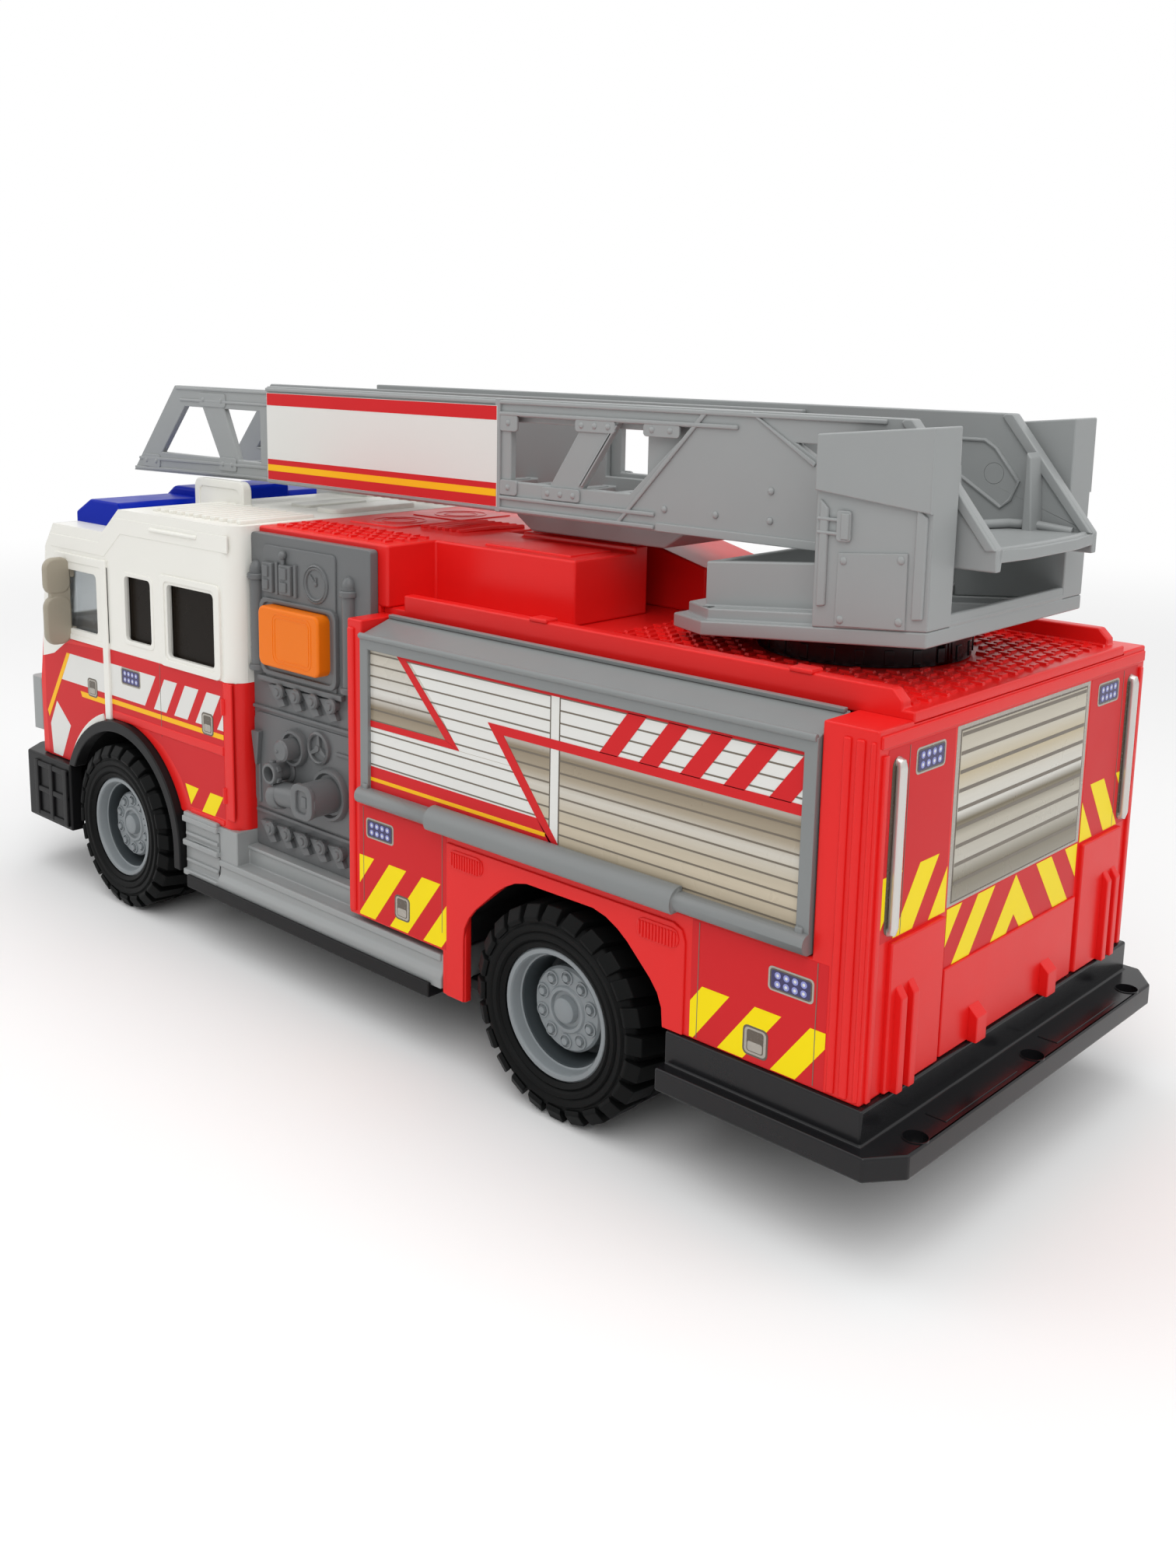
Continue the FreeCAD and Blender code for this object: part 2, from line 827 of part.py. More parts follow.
def wheel_wells():
    """Inner linings of the wheel arches, and the black trims round the front arches."""
    rear = Piece("rear_well_left")
    rim = arch_points(0)
    rim_top = arch_points(c.arch_liner)
    loop = rim_top + [(x, z) for x, z in reversed(rim)]
    rear.pad("XZ", [loop], (c.tub_half_width, c.body_half_width - c.body_wall))
    keep(pair("rear_wheel_wells", rear.body))

    outer = c.front_arch_radius
    inner = outer - c.arch_liner
    span = (c.tub_half_width, CAB_HALF - c.cab_wall)
    ring = cut("front_well_ring",
               rod("front_well_outer", "Y", (FRONT, c.tyre_radius), span, outer),
               rod("front_well_inner", "Y", (FRONT, c.tyre_radius), span, inner),
               block("front_well_under", (FRONT - outer, FRONT + outer), span,
                     (c.tyre_radius - outer, c.bumper_top)))
    keep(pair("front_wheel_wells", ring))

    inside = outer - c.trim_width
    back = CAB_HALF - c.cab_wall
    face = CAB_HALF + c.trim_proud
    trim = cut("trim_ring",
               rod("trim_outer", "Y", (FRONT, c.tyre_radius), (back, face), outer),
               rod("trim_inner", "Y", (FRONT, c.tyre_radius), (back, face), inside),
               block("trim_under", (FRONT - outer, FRONT + outer), (back, face),
                     (c.tyre_radius - outer, c.tyre_radius)),
               block("trim_front", (FRONT, FRONT + outer), (back, face),
                     (c.tyre_radius, c.bumper_top)))
    leg = block("trim_leg", (FRONT - outer, FRONT - inside), (back, face),
                (c.trim_leg_bottom, c.tyre_radius))
    keep(pair("fender_trims", fuse("fender_trim_left", trim, leg)))


def arch_points(grow):
    """Rear arch outline from its back foot over the crown to its front foot."""
    return [
        (at(c.arch_back) - grow, c.body_bottom),
        (at(c.arch_back) - grow, c.arch_shoulder + grow / 2),
        (at(c.arch_crown_back) - grow / 2, c.arch_top + grow),
        (at(c.arch_crown_front) + grow / 2, c.arch_top + grow),
        (at(c.arch_front) + grow, c.arch_shoulder + grow / 2),
        (at(c.arch_front) + grow, c.body_bottom),
    ]


chassis()
rear_step()
bumper()
running_boards()
wheel_wells()


# ---------------------------------------------------------------- load body

def body_shell():
    """Red body: side skirts with the rear arches, front and rear walls, four corner posts."""
    piece = Piece("body_shell")
    half = c.body_half_width
    arch = arch_points(0)
    side = [
        (at(c.body_back), c.body_bottom),
        *arch[:-1],
        (at(c.arch_front), c.leg_bottom),
        (at(c.leg_front), c.leg_bottom),
        (at(c.leg_front), c.skirt_bottom),
        (at(c.body_front), c.skirt_bottom),
        (at(c.body_front), c.deck_bottom),
        (at(c.body_back), c.deck_bottom),
    ]
    piece.pad("XZ", [side], (-half, half))
    room = half - c.body_wall
    inside = rectangle((at(c.body_back + c.body_wall), at(c.body_front - c.body_wall)),
                       (-room, room))
    piece.pocket("XY", [inside], (c.leg_bottom - 1, c.deck_bottom + 1))
    under = rectangle((at(c.leg_front), at(c.body_front + 1)), (-room, room))
    piece.pocket("XY", [under], (c.leg_bottom - 1, c.body_bottom))
    opening = rectangle((at(c.door_back), at(c.door_front)), (c.door_sill, c.deck_bottom + 1))
    piece.pocket("XZ", [opening], (c.deck_half_width, half + 1))
    piece.pocket("XZ", [opening], (-half - 1, -c.deck_half_width))
    room_x = (c.body_front - c.body_wall, c.body_back + c.body_wall)
    for low, high in ((c.door_front, room_x[0]), (room_x[1], c.door_back)):
        for y in ((c.deck_half_width, room), (-room, -c.deck_half_width)):
            cheek = rectangle((at(low), at(high)), y)
            piece.pad("XY", [cheek], (c.cheek_bottom, c.deck_bottom))
    for low, high in ((c.body_back, c.door_back), (c.door_front, c.body_front)):
        for y in ((c.deck_half_width, half), (-half, -c.deck_half_width)):
            cap = rectangle((at(low), at(high)), y)
            piece.pad("XY", [cap], (c.deck_bottom, c.post_top))
    bore = c.hinge_pin_radius + c.running_clearance
    sockets = [("circle", c.hinge_y, c.hinge_z, bore), ("circle", -c.hinge_y, c.hinge_z, bore)]
    reach = c.hinge_pin_length + c.moving_gap
    piece.pocket("YZ", [sockets[0]], (at(c.door_front - 1), at(c.door_front) + reach))
    piece.pocket("YZ", [sockets[1]], (at(c.door_front - 1), at(c.door_front) + reach))
    piece.pocket("YZ", [sockets[0]], (at(c.door_back) - reach, at(c.door_back + 1)))
    piece.pocket("YZ", [sockets[1]], (at(c.door_back) - reach, at(c.door_back + 1)))
    keep(piece.body)


def deck():
    """Red deck plate with a low curb along each side."""
    piece = Piece("deck")
    half = c.deck_half_width
    plate = rectangle((at(c.body_back), at(c.body_front)), (-half, half))
    piece.pad("XY", [plate], (c.deck_bottom, c.deck_top))
    bore = ("circle", at(c.turn_x), 0, c.spigot_radius + c.running_clearance)
    piece.pocket("XY", [bore], (c.deck_bottom - 1, c.deck_top + 1))
    curb = [
        (at(c.curb_back), c.deck_top),
        (at(c.curb_front), c.deck_top),
        (at(c.curb_front), c.curb_top),
        (at(c.curb_back + c.curb_chamfer), c.curb_top),
        (at(c.curb_back), c.curb_top - c.curb_chamfer),
    ]
    piece.pad("XZ", [curb], (half - c.curb_width, half))
    piece.pad("XZ", [curb], (-half, c.curb_width - half))
    keep(piece.body)


def locker_lining():
    """Floor and back wall of each locker."""
    piece = Piece("locker_lining_left")
    outer = c.body_half_width - c.body_wall
    inner = outer - c.locker_depth
    section = [
        (inner, c.locker_floor),
        (outer, c.locker_floor),
        (outer, c.locker_floor + c.locker_wall),
        (inner + c.locker_wall, c.locker_floor + c.locker_wall),
        (inner + c.locker_wall, c.deck_bottom),
        (inner, c.deck_bottom),
    ]
    piece.pad("YZ", [section], (at(c.body_back + c.body_wall), at(c.body_front - c.body_wall)))
    keep(pair("locker_linings", piece.body))


def door(side, sign):
    """Flap door of one locker: grey frame with its top flange, grip and pins, and the shutter."""
    back = at(c.door_back) + c.moving_gap
    front = at(c.door_front) - c.moving_gap
    face = c.body_half_width + c.door_proud
    inner = face - c.door_thickness
    low = c.door_sill + c.moving_gap
    piece = Piece("door_frame_" + side)
    section = [
        (inner, low),
        (face, low),
        (face, c.door_top),
        (c.flange_inner, c.flange_top),
        (c.flange_inner, c.flange_top - c.flange_thickness),
        (inner, c.door_top - c.flange_thickness),
    ]
    section = [(y * sign, z) for y, z in section]
    piece.pad("YZ", [section], (back, front))
    window = rectangle((back + c.shutter_margin, front - c.shutter_margin),
                       (c.shutter_bottom, c.shutter_top - 2))
    across = sorted(((inner - 1) * sign, (face + 1) * sign), key=lambda y: y.value)
    piece.pocket("XZ", [window], across)
    grip = rod("grip_" + side, "X", (face * sign, c.handle_z),
               (at(c.grip_back), at(c.grip_front)), c.grip_radius)
    bar = rod("bar_" + side, "X", (face * sign, c.handle_z), (back, front), c.handle_radius)
    behind = sorted((inner * sign, (face - c.door_proud) * sign), key=lambda y: y.value)
    trim = block("grip_trim_" + side, (back - 1, front + 1), behind,
                 (c.handle_z - c.grip_radius, c.handle_z + c.grip_radius))
    under = sorted(((face - c.grip_radius) * sign, (face + c.grip_radius) * sign),
                   key=lambda y: y.value)
    below = block("grip_under_" + side, (back - 1, front + 1), under,
                  (c.handle_z - c.grip_radius, low))
    grips = cut("grips_" + side, fuse("grip_bars_" + side, grip, bar), trim, below)
    ears = []
    for end, spot in (("back", (back - c.hinge_pin_length, back)),
                      ("front", (front, front + c.hinge_pin_length))):
        ears.append(rod("pin_%s_%s" % (end, side), "X", (c.hinge_y * sign, c.hinge_z), spot,
                        c.hinge_pin_radius))
    bosses = []
    for end, spot in (("back", (back, back + c.shutter_margin)),
                      ("front", (front - c.shutter_margin, front))):
        bosses.append(rod("boss_%s_%s" % (end, side), "X", (c.hinge_y * sign, c.hinge_z), spot,
                          c.flange_thickness))
    frame = fuse("door_frame_%s_whole" % side, piece.body, grips, *ears, *bosses)
    piece.body.Label = "door_panel_" + side
    frame.Label = "door_frame_" + side
    keep(frame)
    middle = (inner + (face - c.door_proud)) / 2
    depth = sorted(((middle - c.shutter_thickness / 2) * sign,
                    (middle + c.shutter_thickness / 2) * sign), key=lambda y: y.value)
    keep(block("door_shutter_" + side, (back + c.shutter_margin, front - c.shutter_margin), depth,
               (c.shutter_bottom, c.shutter_top - 2)))


def hose_bed():
    """Red housing between the pump panels with the raised humps on the deck behind it."""
    piece = Piece("hose_bed")
    half = BED_HALF
    side = [
        (at(c.body_front), c.body_bottom),
        (at(c.cab_back), c.body_bottom),
        (at(c.cab_back), c.bed_top),
        (at(c.bed_back), c.bed_top),
        (at(c.bed_back), c.deck_top),
        (at(c.body_front), c.deck_top),
    ]
    piece.pad("XZ", [side], (-half, half))
    left = rectangle((at(c.hump_back), at(c.bed_back)), (c.hump_inner, c.hump_half_width))
    piece.pad("XY", [left], (c.deck_top, c.bed_top))
    rib = rectangle((at(c.hump_back), at(c.rib_front)), (c.rib_inner, c.hump_inner))
    piece.pad("XY", [rib], (c.deck_top, c.rib_top))
    link = rectangle((at(c.rib_front - c.bed_wall), at(c.bed_back)), (c.rib_inner, c.hump_inner))
    piece.pad("XY", [link], (c.deck_top, c.bed_top))
    ramp = [
        (at(c.ramp_back), c.deck_top),
        (at(c.bed_back), c.deck_top),
        (at(c.bed_back), c.bed_top),
        (at(c.ramp_back + (c.bed_top - c.ramp_low) * 4), c.bed_top),
        (at(c.ramp_back), c.ramp_low),
    ]
    piece.pad("XZ", [ramp], (-c.hump_half_width, -c.ramp_inner))
    wall = c.bed_wall
    room = rectangle((at(c.body_front + wall), at(c.cab_back - wall)), (wall - half, half - wall))
    piece.pocket("XY", [room], (c.body_bottom - 1, c.bed_top - wall))
    hollow = rectangle((at(c.hump_back + wall), at(c.bed_back)),
                       (c.rib_inner + wall, c.hump_half_width - wall))
    piece.pocket("XY", [hollow], (c.deck_top - 1, c.bed_top - wall))
    hollow = rectangle((at(c.ramp_back + wall), at(c.bed_back)),
                       (wall - c.hump_half_width, -c.ramp_inner - wall))
    piece.pocket("XY", [hollow], (c.deck_top - 1, c.ramp_low - wall))
    keep(piece.body)


FITTINGS = ("gauge", "intake", "intake_knob", "hand_wheel", "drain", "outlet_flange",
            "outlet_cap", "elbow")


def pump_panels():
    """Grey pump panels with their posts, knobs and outlets, and the orange buttons."""
    back = BED_HALF
    face = PANEL_FACE
    plate = Piece("pump_plate_left")
    plate.pad("XZ", [rectangle((at(c.body_front + c.moving_gap), at(c.cab_back)),
                               (c.panel_bottom, c.panel_top))], (back, face))
    solids = [plate.body]
    for name in FITTINGS:
        spot = (at(getattr(c, name + "_x")), getattr(c, name + "_z"))
        solids.append(rod(name, "Y", spot, (face - 1, face + getattr(c, name + "_reach")),
                          getattr(c, name + "_radius")))
    for name in ("post_front", "post_back"):
        station = at(getattr(c, name + "_x"))
        dome = doc.addObject("Part::Sphere", name + "_dome")
        bind(dome, "Radius", c.post_radius)
        place(dome, station, face, c.post_high)
        solids += [dome, rod(name, "Z", (station, face), (c.post_low, c.post_high),
                             c.post_radius)]
    for row, count in (("upper_valve", 4), ("lower_valve", 5)):
        start, height = getattr(c, row + "_x"), getattr(c, row + "_z")
        for number in range(count):
            solids.append(rod("%s_%d" % (row, number), "Y",
                              (at(start + c.valve_pitch * number), height),
                              (face - 1, face + c.valve_reach), c.valve_radius))
    panel = fuse("pump_panel_left", *solids)
    behind = block("pump_panel_back", (at(c.body_front), at(c.cab_back)), (0, back),
                   (c.panel_bottom, c.panel_top))
    keep(pair("pump_panels", cut("pump_panel_left_cut", panel, behind)))
    button = Piece("sound_button_left")
    button.pad("XZ", [rectangle((at(c.button_back), at(c.button_front)),
                                (c.button_bottom, c.button_top))],
               (face, face + c.button_proud))
    button.round(c.button_corner, V(0, 1, 0), lambda p: True)
    keep(pair("sound_buttons", button.body))


body_shell()
deck()
locker_lining()
door("left", 1)
door("right", -1)
hose_bed()
pump_panels()
grab = block("rear_handle_left", (at(c.body_back - c.rear_handle_proud), at(c.body_back)),
             (c.rear_handle_y - c.rear_handle_width / 2, c.rear_handle_y + c.rear_handle_width / 2),
             (c.rear_handle_bottom, c.rear_handle_top))
keep(pair("rear_handles", grab))


# ---------------------------------------------------------------- cab

WINDOWS = ("rear_window", "middle_window", "door_window")


def window_box(name, grow=0):
    """Stations and heights of a side window, widened by the same amount all round."""
    back, front, sill, head = [getattr(c, "%s_%s" % (name, end))
                               for end in ("back", "front", "sill", "head")]
    return ((at(back - grow), at(front + grow)),
            (c.cab_waist + sill - grow, c.roof_top - head + grow))


def cab_lower():
    """Red lower half of the cab, open above and below."""
    piece = Piece("cab_lower")
    half = CAB_HALF
    piece.pad("XZ", [[
        (at(c.cab_back), c.cab_bottom),
        (FRONT, c.cab_bottom),
        (FRONT, c.cab_face_bottom),
        (at(c.cab_face), c.cab_face_bottom),
        (at(c.cab_face), c.cab_face_top),
        (at(c.cab_waist_front), c.cab_waist),
        (at(c.cab_back), c.cab_waist),
    ]], (-half, half))
    piece.round(c.cab_corner_radius, V(0, 0, 1), lambda p: p.x < at(c.cab_back).value + 1)
    wall = c.cab_wall
    piece.pocket("XZ", [[
        (at(c.cab_back + wall), c.cab_bottom - 1),
        (at(c.cab_face - wall), c.cab_bottom - 1),
        (at(c.cab_face - wall), c.cab_face_top),
        (at(c.cab_waist_front - wall), c.cab_waist),
        (at(c.cab_waist_front - wall), c.cab_waist + 1),
        (at(c.cab_back + wall), c.cab_waist + 1),
    ]], (wall - half, half - wall))
    arch = ("circle", FRONT, c.tyre_radius, c.front_arch_radius)
    piece.pocket("XZ", [arch], (-half - 1, half + 1))
    keep(piece.body)


def cab_upper():
    """White upper half of the cab with its roof, windows and windscreen opening."""
    piece = Piece("cab_upper")
    half = CAB_HALF
    outline = [
        (at(c.cab_back), c.cab_waist),
        (at(c.cab_waist_front), c.cab_waist),
        (at(c.brow_front), c.brow_z),
        (at(c.header_front), c.header_top),
        (at(c.header_back), c.header_top),
        (at(c.roof_front), c.roof_top),
        (at(c.cab_back), c.roof_top),
    ]
    piece.pad("XZ", [outline], (-half, half))
    piece.round(c.cab_corner_radius, V(0, 0, 1), lambda p: p.x < at(c.cab_back).value + 1)
    wall = c.cab_wall
    piece.pocket("XZ", [[
        (at(c.cab_back + wall), c.cab_waist - 1),
        (at(c.cab_waist_front - wall), c.cab_waist - 1),
        (at(c.cab_waist_front - wall), c.cab_waist),
        (at(c.brow_front - wall), c.brow_z - wall),
        (at(c.header_front - wall), c.header_top - wall),
        (at(c.header_back - wall), c.header_top - wall),
        (at(c.roof_front - wall), c.roof_top - wall),
        (at(c.cab_back + wall), c.roof_top - wall),
    ]], (wall - half, half - wall))
    for name in WINDOWS:
        piece.pocket("XZ", [rectangle(*window_box(name))], (-half - 1, half + 1))
    screen = rectangle((-c.windscreen_half_width, c.windscreen_half_width),
                       (c.cab_waist + c.windscreen_sill, c.roof_top - c.windscreen_head))
    piece.pocket("YZ", [screen], (at(c.header_front - wall), at(c.cab_waist_front + 1)))
    keep(piece.body)


def cab_windows():
    """Panes set behind the cab's openings."""
    face = CAB_HALF - c.cab_wall
    edge = c.pane_margin
    depth = (face - c.pane_thickness, face)
    panes = {}
    for name in WINDOWS:
        along, height = window_box(name, edge)
        panes[name] = block(name + "_pane", along, depth, height)
    smoked = doc.addObject("Part::Compound", "smoked_left")
    smoked.Links = [panes["rear_window"], panes["middle_window"]]
    both = doc.addObject("Part::Compound", "smoked_windows")
    both.Links = [smoked, mirror("smoked_right", smoked)]
    keep(both)
    lean = (c.cab_waist_front - c.brow_front) / (c.brow_z - c.cab_wall - c.cab_waist)
    screen = Piece("windscreen_pane")
    low = c.cab_waist + c.windscreen_sill - edge
    high = c.roof_top - c.windscreen_head - c.cab_wall
    front = c.cab_waist_front - c.cab_wall

    def inner(z):
        """Station of the cab front's inner face at a height."""
        return front - (z - c.cab_waist) * lean - 0.05

    across = c.windscreen_half_width + edge
    screen.pad("XZ", [[
        (at(inner(low) - c.pane_thickness), low),
        (at(inner(low)), low),
        (at(inner(high)), high),
        (at(inner(high) - c.pane_thickness), high),
    ]], (-across, across))
    clear = doc.addObject("Part::Compound", "windscreen")
    clear.Links = [screen.body, panes["door_window"],
                   mirror("door_pane_right", panes["door_window"])]
    keep(clear)


def cab_fittings():
    """Cab tub with seats and dash, light bar, ladder cradle, mirrors and grille."""
    wall = c.cab_wall
    half = CAB_HALF - wall
    floor = (c.cab_floor, c.cab_floor + c.cab_floor_plate)
    inside = c.pane_thickness + wall
    room = CAB_HALF - inside - c.slide_gap
    parts = [block("cab_floor_plate",
                   (at(c.cab_back + wall), at(c.cab_face - wall - 1)), (-half, half), floor)]
    across = room - c.seat_inset
    for name in ("bench", "bench_rest", "seat", "seat_rest", "dash"):
        along = (at(getattr(c, name + "_back")), at(getattr(c, name + "_front")))
        parts.append(block("cab_" + name, along, (-across, across),
                           (c.cab_floor, getattr(c, name + "_top"))))
    keep(fuse("cab_interior", *parts))

    bar = Piece("light_bar")
    top = c.header_top + c.light_bar_height
    slope = c.light_bar_front - c.light_bar_slope
    bar.pad("XZ", [[
        (at(c.light_bar_back), c.header_top),
        (at(c.light_bar_front - c.light_bar_lip), c.header_top),
        (at(c.light_bar_front), c.header_top + c.light_bar_lip),
        (at(slope), top),
        (at(c.light_bar_back), top),
    ]], (-c.light_bar_half_width, c.light_bar_half_width))
    bar.pad("XZ", [[
        (at(c.light_bar_back), top - 1),
        (at(slope), top - 1),
        (at(slope - c.light_bar_hump_slope), top + c.light_bar_hump),
        (at(c.light_bar_back), top + c.light_bar_hump),
    ]], (-c.light_bar_hump_half, c.light_bar_hump_half))
    keep(bar.body)

    cradle = Piece("cradle_left")
    cradle.pad("XZ", [rectangle((at(c.cradle_back), at(c.cradle_front)),
                                (c.header_top, c.cradle_top))],
               (c.cradle_outer - c.cradle_wall, c.cradle_outer))
    cradle.pocket("XZ", [[
        (at(c.cradle_back - 1), c.header_top - 1),
        (at(c.header_back), c.header_top - 1),
        (at(c.header_back), c.header_top),
        (at(c.roof_front), c.roof_top),
        (at(c.cradle_back - 1), c.roof_top),
    ]], (0, c.cradle_outer + 1))
    keep(pair("ladder_cradles", cradle.body))

    face = CAB_HALF
    glass = Piece("mirror_left")
    tall = c.mirror_top - c.mirror_bottom
    waist = c.mirror_bottom + tall / 2
    glass.pad("YZ", [[
        (face, c.mirror_bottom + c.mirror_corner),
        (face + c.mirror_reach / 2, c.mirror_bottom),
        (face + c.mirror_reach, c.mirror_bottom + c.mirror_corner),
        (face + c.mirror_reach, waist - c.mirror_notch),
        (face + c.mirror_reach - c.mirror_notch, waist),
        (face + c.mirror_reach, waist + c.mirror_notch),
        (face + c.mirror_reach, c.mirror_top - c.mirror_corner),
        (face + c.mirror_reach / 2, c.mirror_top),
        (face, c.mirror_top - c.mirror_corner),
    ]], (at(c.mirror_station), at(c.mirror_station + c.mirror_thickness)))
    keep(pair("mirrors", glass.body))

    grille = Piece("front_grille")
    reach = CAB_HALF
    grille.pad("XY", [rectangle((at(c.cab_face), at(c.grille_front)), (-reach, reach))],
               (c.grille_bottom, c.grille_top))
    grille.round(c.grille_corner, V(0, 0, 1), lambda p: p.x > at(c.cab_face + 1).value)
    height = (c.grille_bottom + c.grille_edge, c.grille_top - c.grille_edge)
    slots = [rectangle((c.grille_pitch * step - c.grille_slot / 2,
                        c.grille_pitch * step + c.grille_slot / 2), height) for step in (-1, 0, 1)]
    grille.pocket("YZ", slots, (at(c.grille_front - c.grille_corner), at(c.grille_front + 1)))
    keep(grille.body)


cab_lower()
cab_upper()
cab_windows()
cab_fittings()


# ---------------------------------------------------------------- turntable

def level(height, station):
    """Height of one of the turntable's sloping levels at a station."""
    return height + (c.turn_x - station) * c.turn_slope


def sloped(back, front, low, high):
    """Side outline between two stations and two of the turntable's levels."""
    return [(at(back), level(low, back)), (at(front), level(low, front)),
            (at(front), level(high, front)), (at(back), level(high, back))]


def turntable():
    """Black ring, stepped base with its low wall, cheeks joined by the rear rail, lift pins."""
    x = at(c.turn_x)
    first = c.turn_bottom + c.turn_first_step
    second = first + c.turn_second_step
    half = c.turn_half_width

    ring = Piece("turntable_ring")
    ring.pad("XY", [("circle", x, 0, c.ring_radius)],
             (c.deck_top + c.ring_gap, c.turn_bottom + c.turn_first_step))
    above = sloped(c.turn_x - c.ring_radius - 1, c.turn_x + c.ring_radius + 1,
                   c.turn_bottom, c.turn_bottom + c.turn_half_width)
    ring.pocket("XZ", [above], (-c.ring_radius - 1, c.ring_radius + 1))
    ring.pad("XY", [("circle", x, 0, c.spigot_radius)],
             (c.deck_bottom, c.deck_top + c.ring_gap * 2))
    keep(ring.body)

    steps = []
    # Steps: name, back, front, half width, half width of the front edge, low, high
    for name, back, front, wide, nose, low, high in (
            ("first_step", c.turn_back, c.turn_front, half, c.turn_front_half,
             c.turn_bottom, first),
            ("second_step", c.pod_front, c.turn_front - c.turn_inset, half - c.turn_inset,
             c.turn_front_half - c.turn_inset, first, second)):
        step = Piece(name)
        step.pad("XZ", [sloped(back, front, low, high)], (-wide, wide))
        start = c.turn_front - c.turn_chamfer
        corner = [(at(start), wide), (at(start), wide + 1), (at(front + 1), wide + 1),
                  (at(front + 1), nose), (at(front), nose)]
        other = [(spot, -y) for spot, y in reversed(corner)]
        for loop in (corner, other):
            step.pocket("XY", [loop], (c.deck_top, c.turn_bottom + c.turn_half_width))
        steps.append(step.body)
    wall = Piece("low_wall")
    top = second + c.wall_height
    wall.pad("XZ", [sloped(c.pod_front, c.wall_front, second, top)],
             (-c.wall_half_width, c.wall_half_width))
    room = c.wall_half_width - c.wall_thickness
    inside = rectangle((at(c.pod_front - 1), at(c.wall_front - c.wall_thickness)), (-room, room))
    wall.pocket("XY", [inside], (c.turn_bottom, top + c.turn_half_width))
    pit = Piece("pit")
    pit.pad("XZ", [sloped(c.turn_back + c.frame_depth, c.wall_front - c.wall_thickness * 2,
                          c.turn_bottom + c.pit_floor, second + 1)],
            (-c.pit_half_width, c.pit_half_width))
    base = cut("turntable_base_whole", fuse("turntable_base_steps", *steps, wall.body), pit.body)
    base.Label = "turntable_base"
    keep(base)

    cheek = Piece("cheek_left")
    cheek.pad("XZ", [sloped(c.turn_back, c.pod_front, first, first + c.pod_height)],
              (c.pod_inner, half))
    crown = first + c.pod_height
    cheek.pad("XZ", [[
        (at(c.turn_back), c.pod_flare_back),
        (at(c.pod_front), c.pod_flare_front),
        (at(c.pod_front), level(crown, c.pod_front)),
        (at(c.turn_back), level(crown, c.turn_back)),
    ]], (c.pod_inner, half + c.pod_flare))
    wall_x = c.pod_wall
    cheek.pocket("XZ", [sloped(c.turn_back + wall_x, c.pod_front - wall_x, first - 1,
                               crown - c.pod_wall)],
                 (c.pod_inner + c.pod_wall, half - c.pod_wall / 2))
    bore = ("circle", at(c.lift_x), c.lift_z, c.lift_pin_radius)
    cheek.pocket("XZ", [bore], (c.pod_inner - 1, c.pod_inner + c.pod_wall))
    rear_rail = Piece("rear_rail")
    back, front = c.turn_back, c.turn_back + c.frame_depth
    rear_rail.pad("XZ", [[
        (at(back), level(first, back)),
        (at(front), level(first, front)),
        (at(front), c.frame_rail_top),
        (at(back), c.frame_rail_top),
    ]], (-c.pod_inner, c.pod_inner))
    pods = fuse("cheeks_whole", cheek.body, mirror("cheek_right", cheek.body), rear_rail.body)
    pods.Label = "turntable_cheeks"
    keep(pods)
    span = (c.rail_outer - c.rail_thickness, c.pod_inner + c.pod_wall)
    keep(pair("lift_pin", rod("lift_pin_left", "Y", (at(c.lift_x), c.lift_z), span,
                              c.lift_pin_radius)))


turntable()


# ---------------------------------------------------------------- ladder

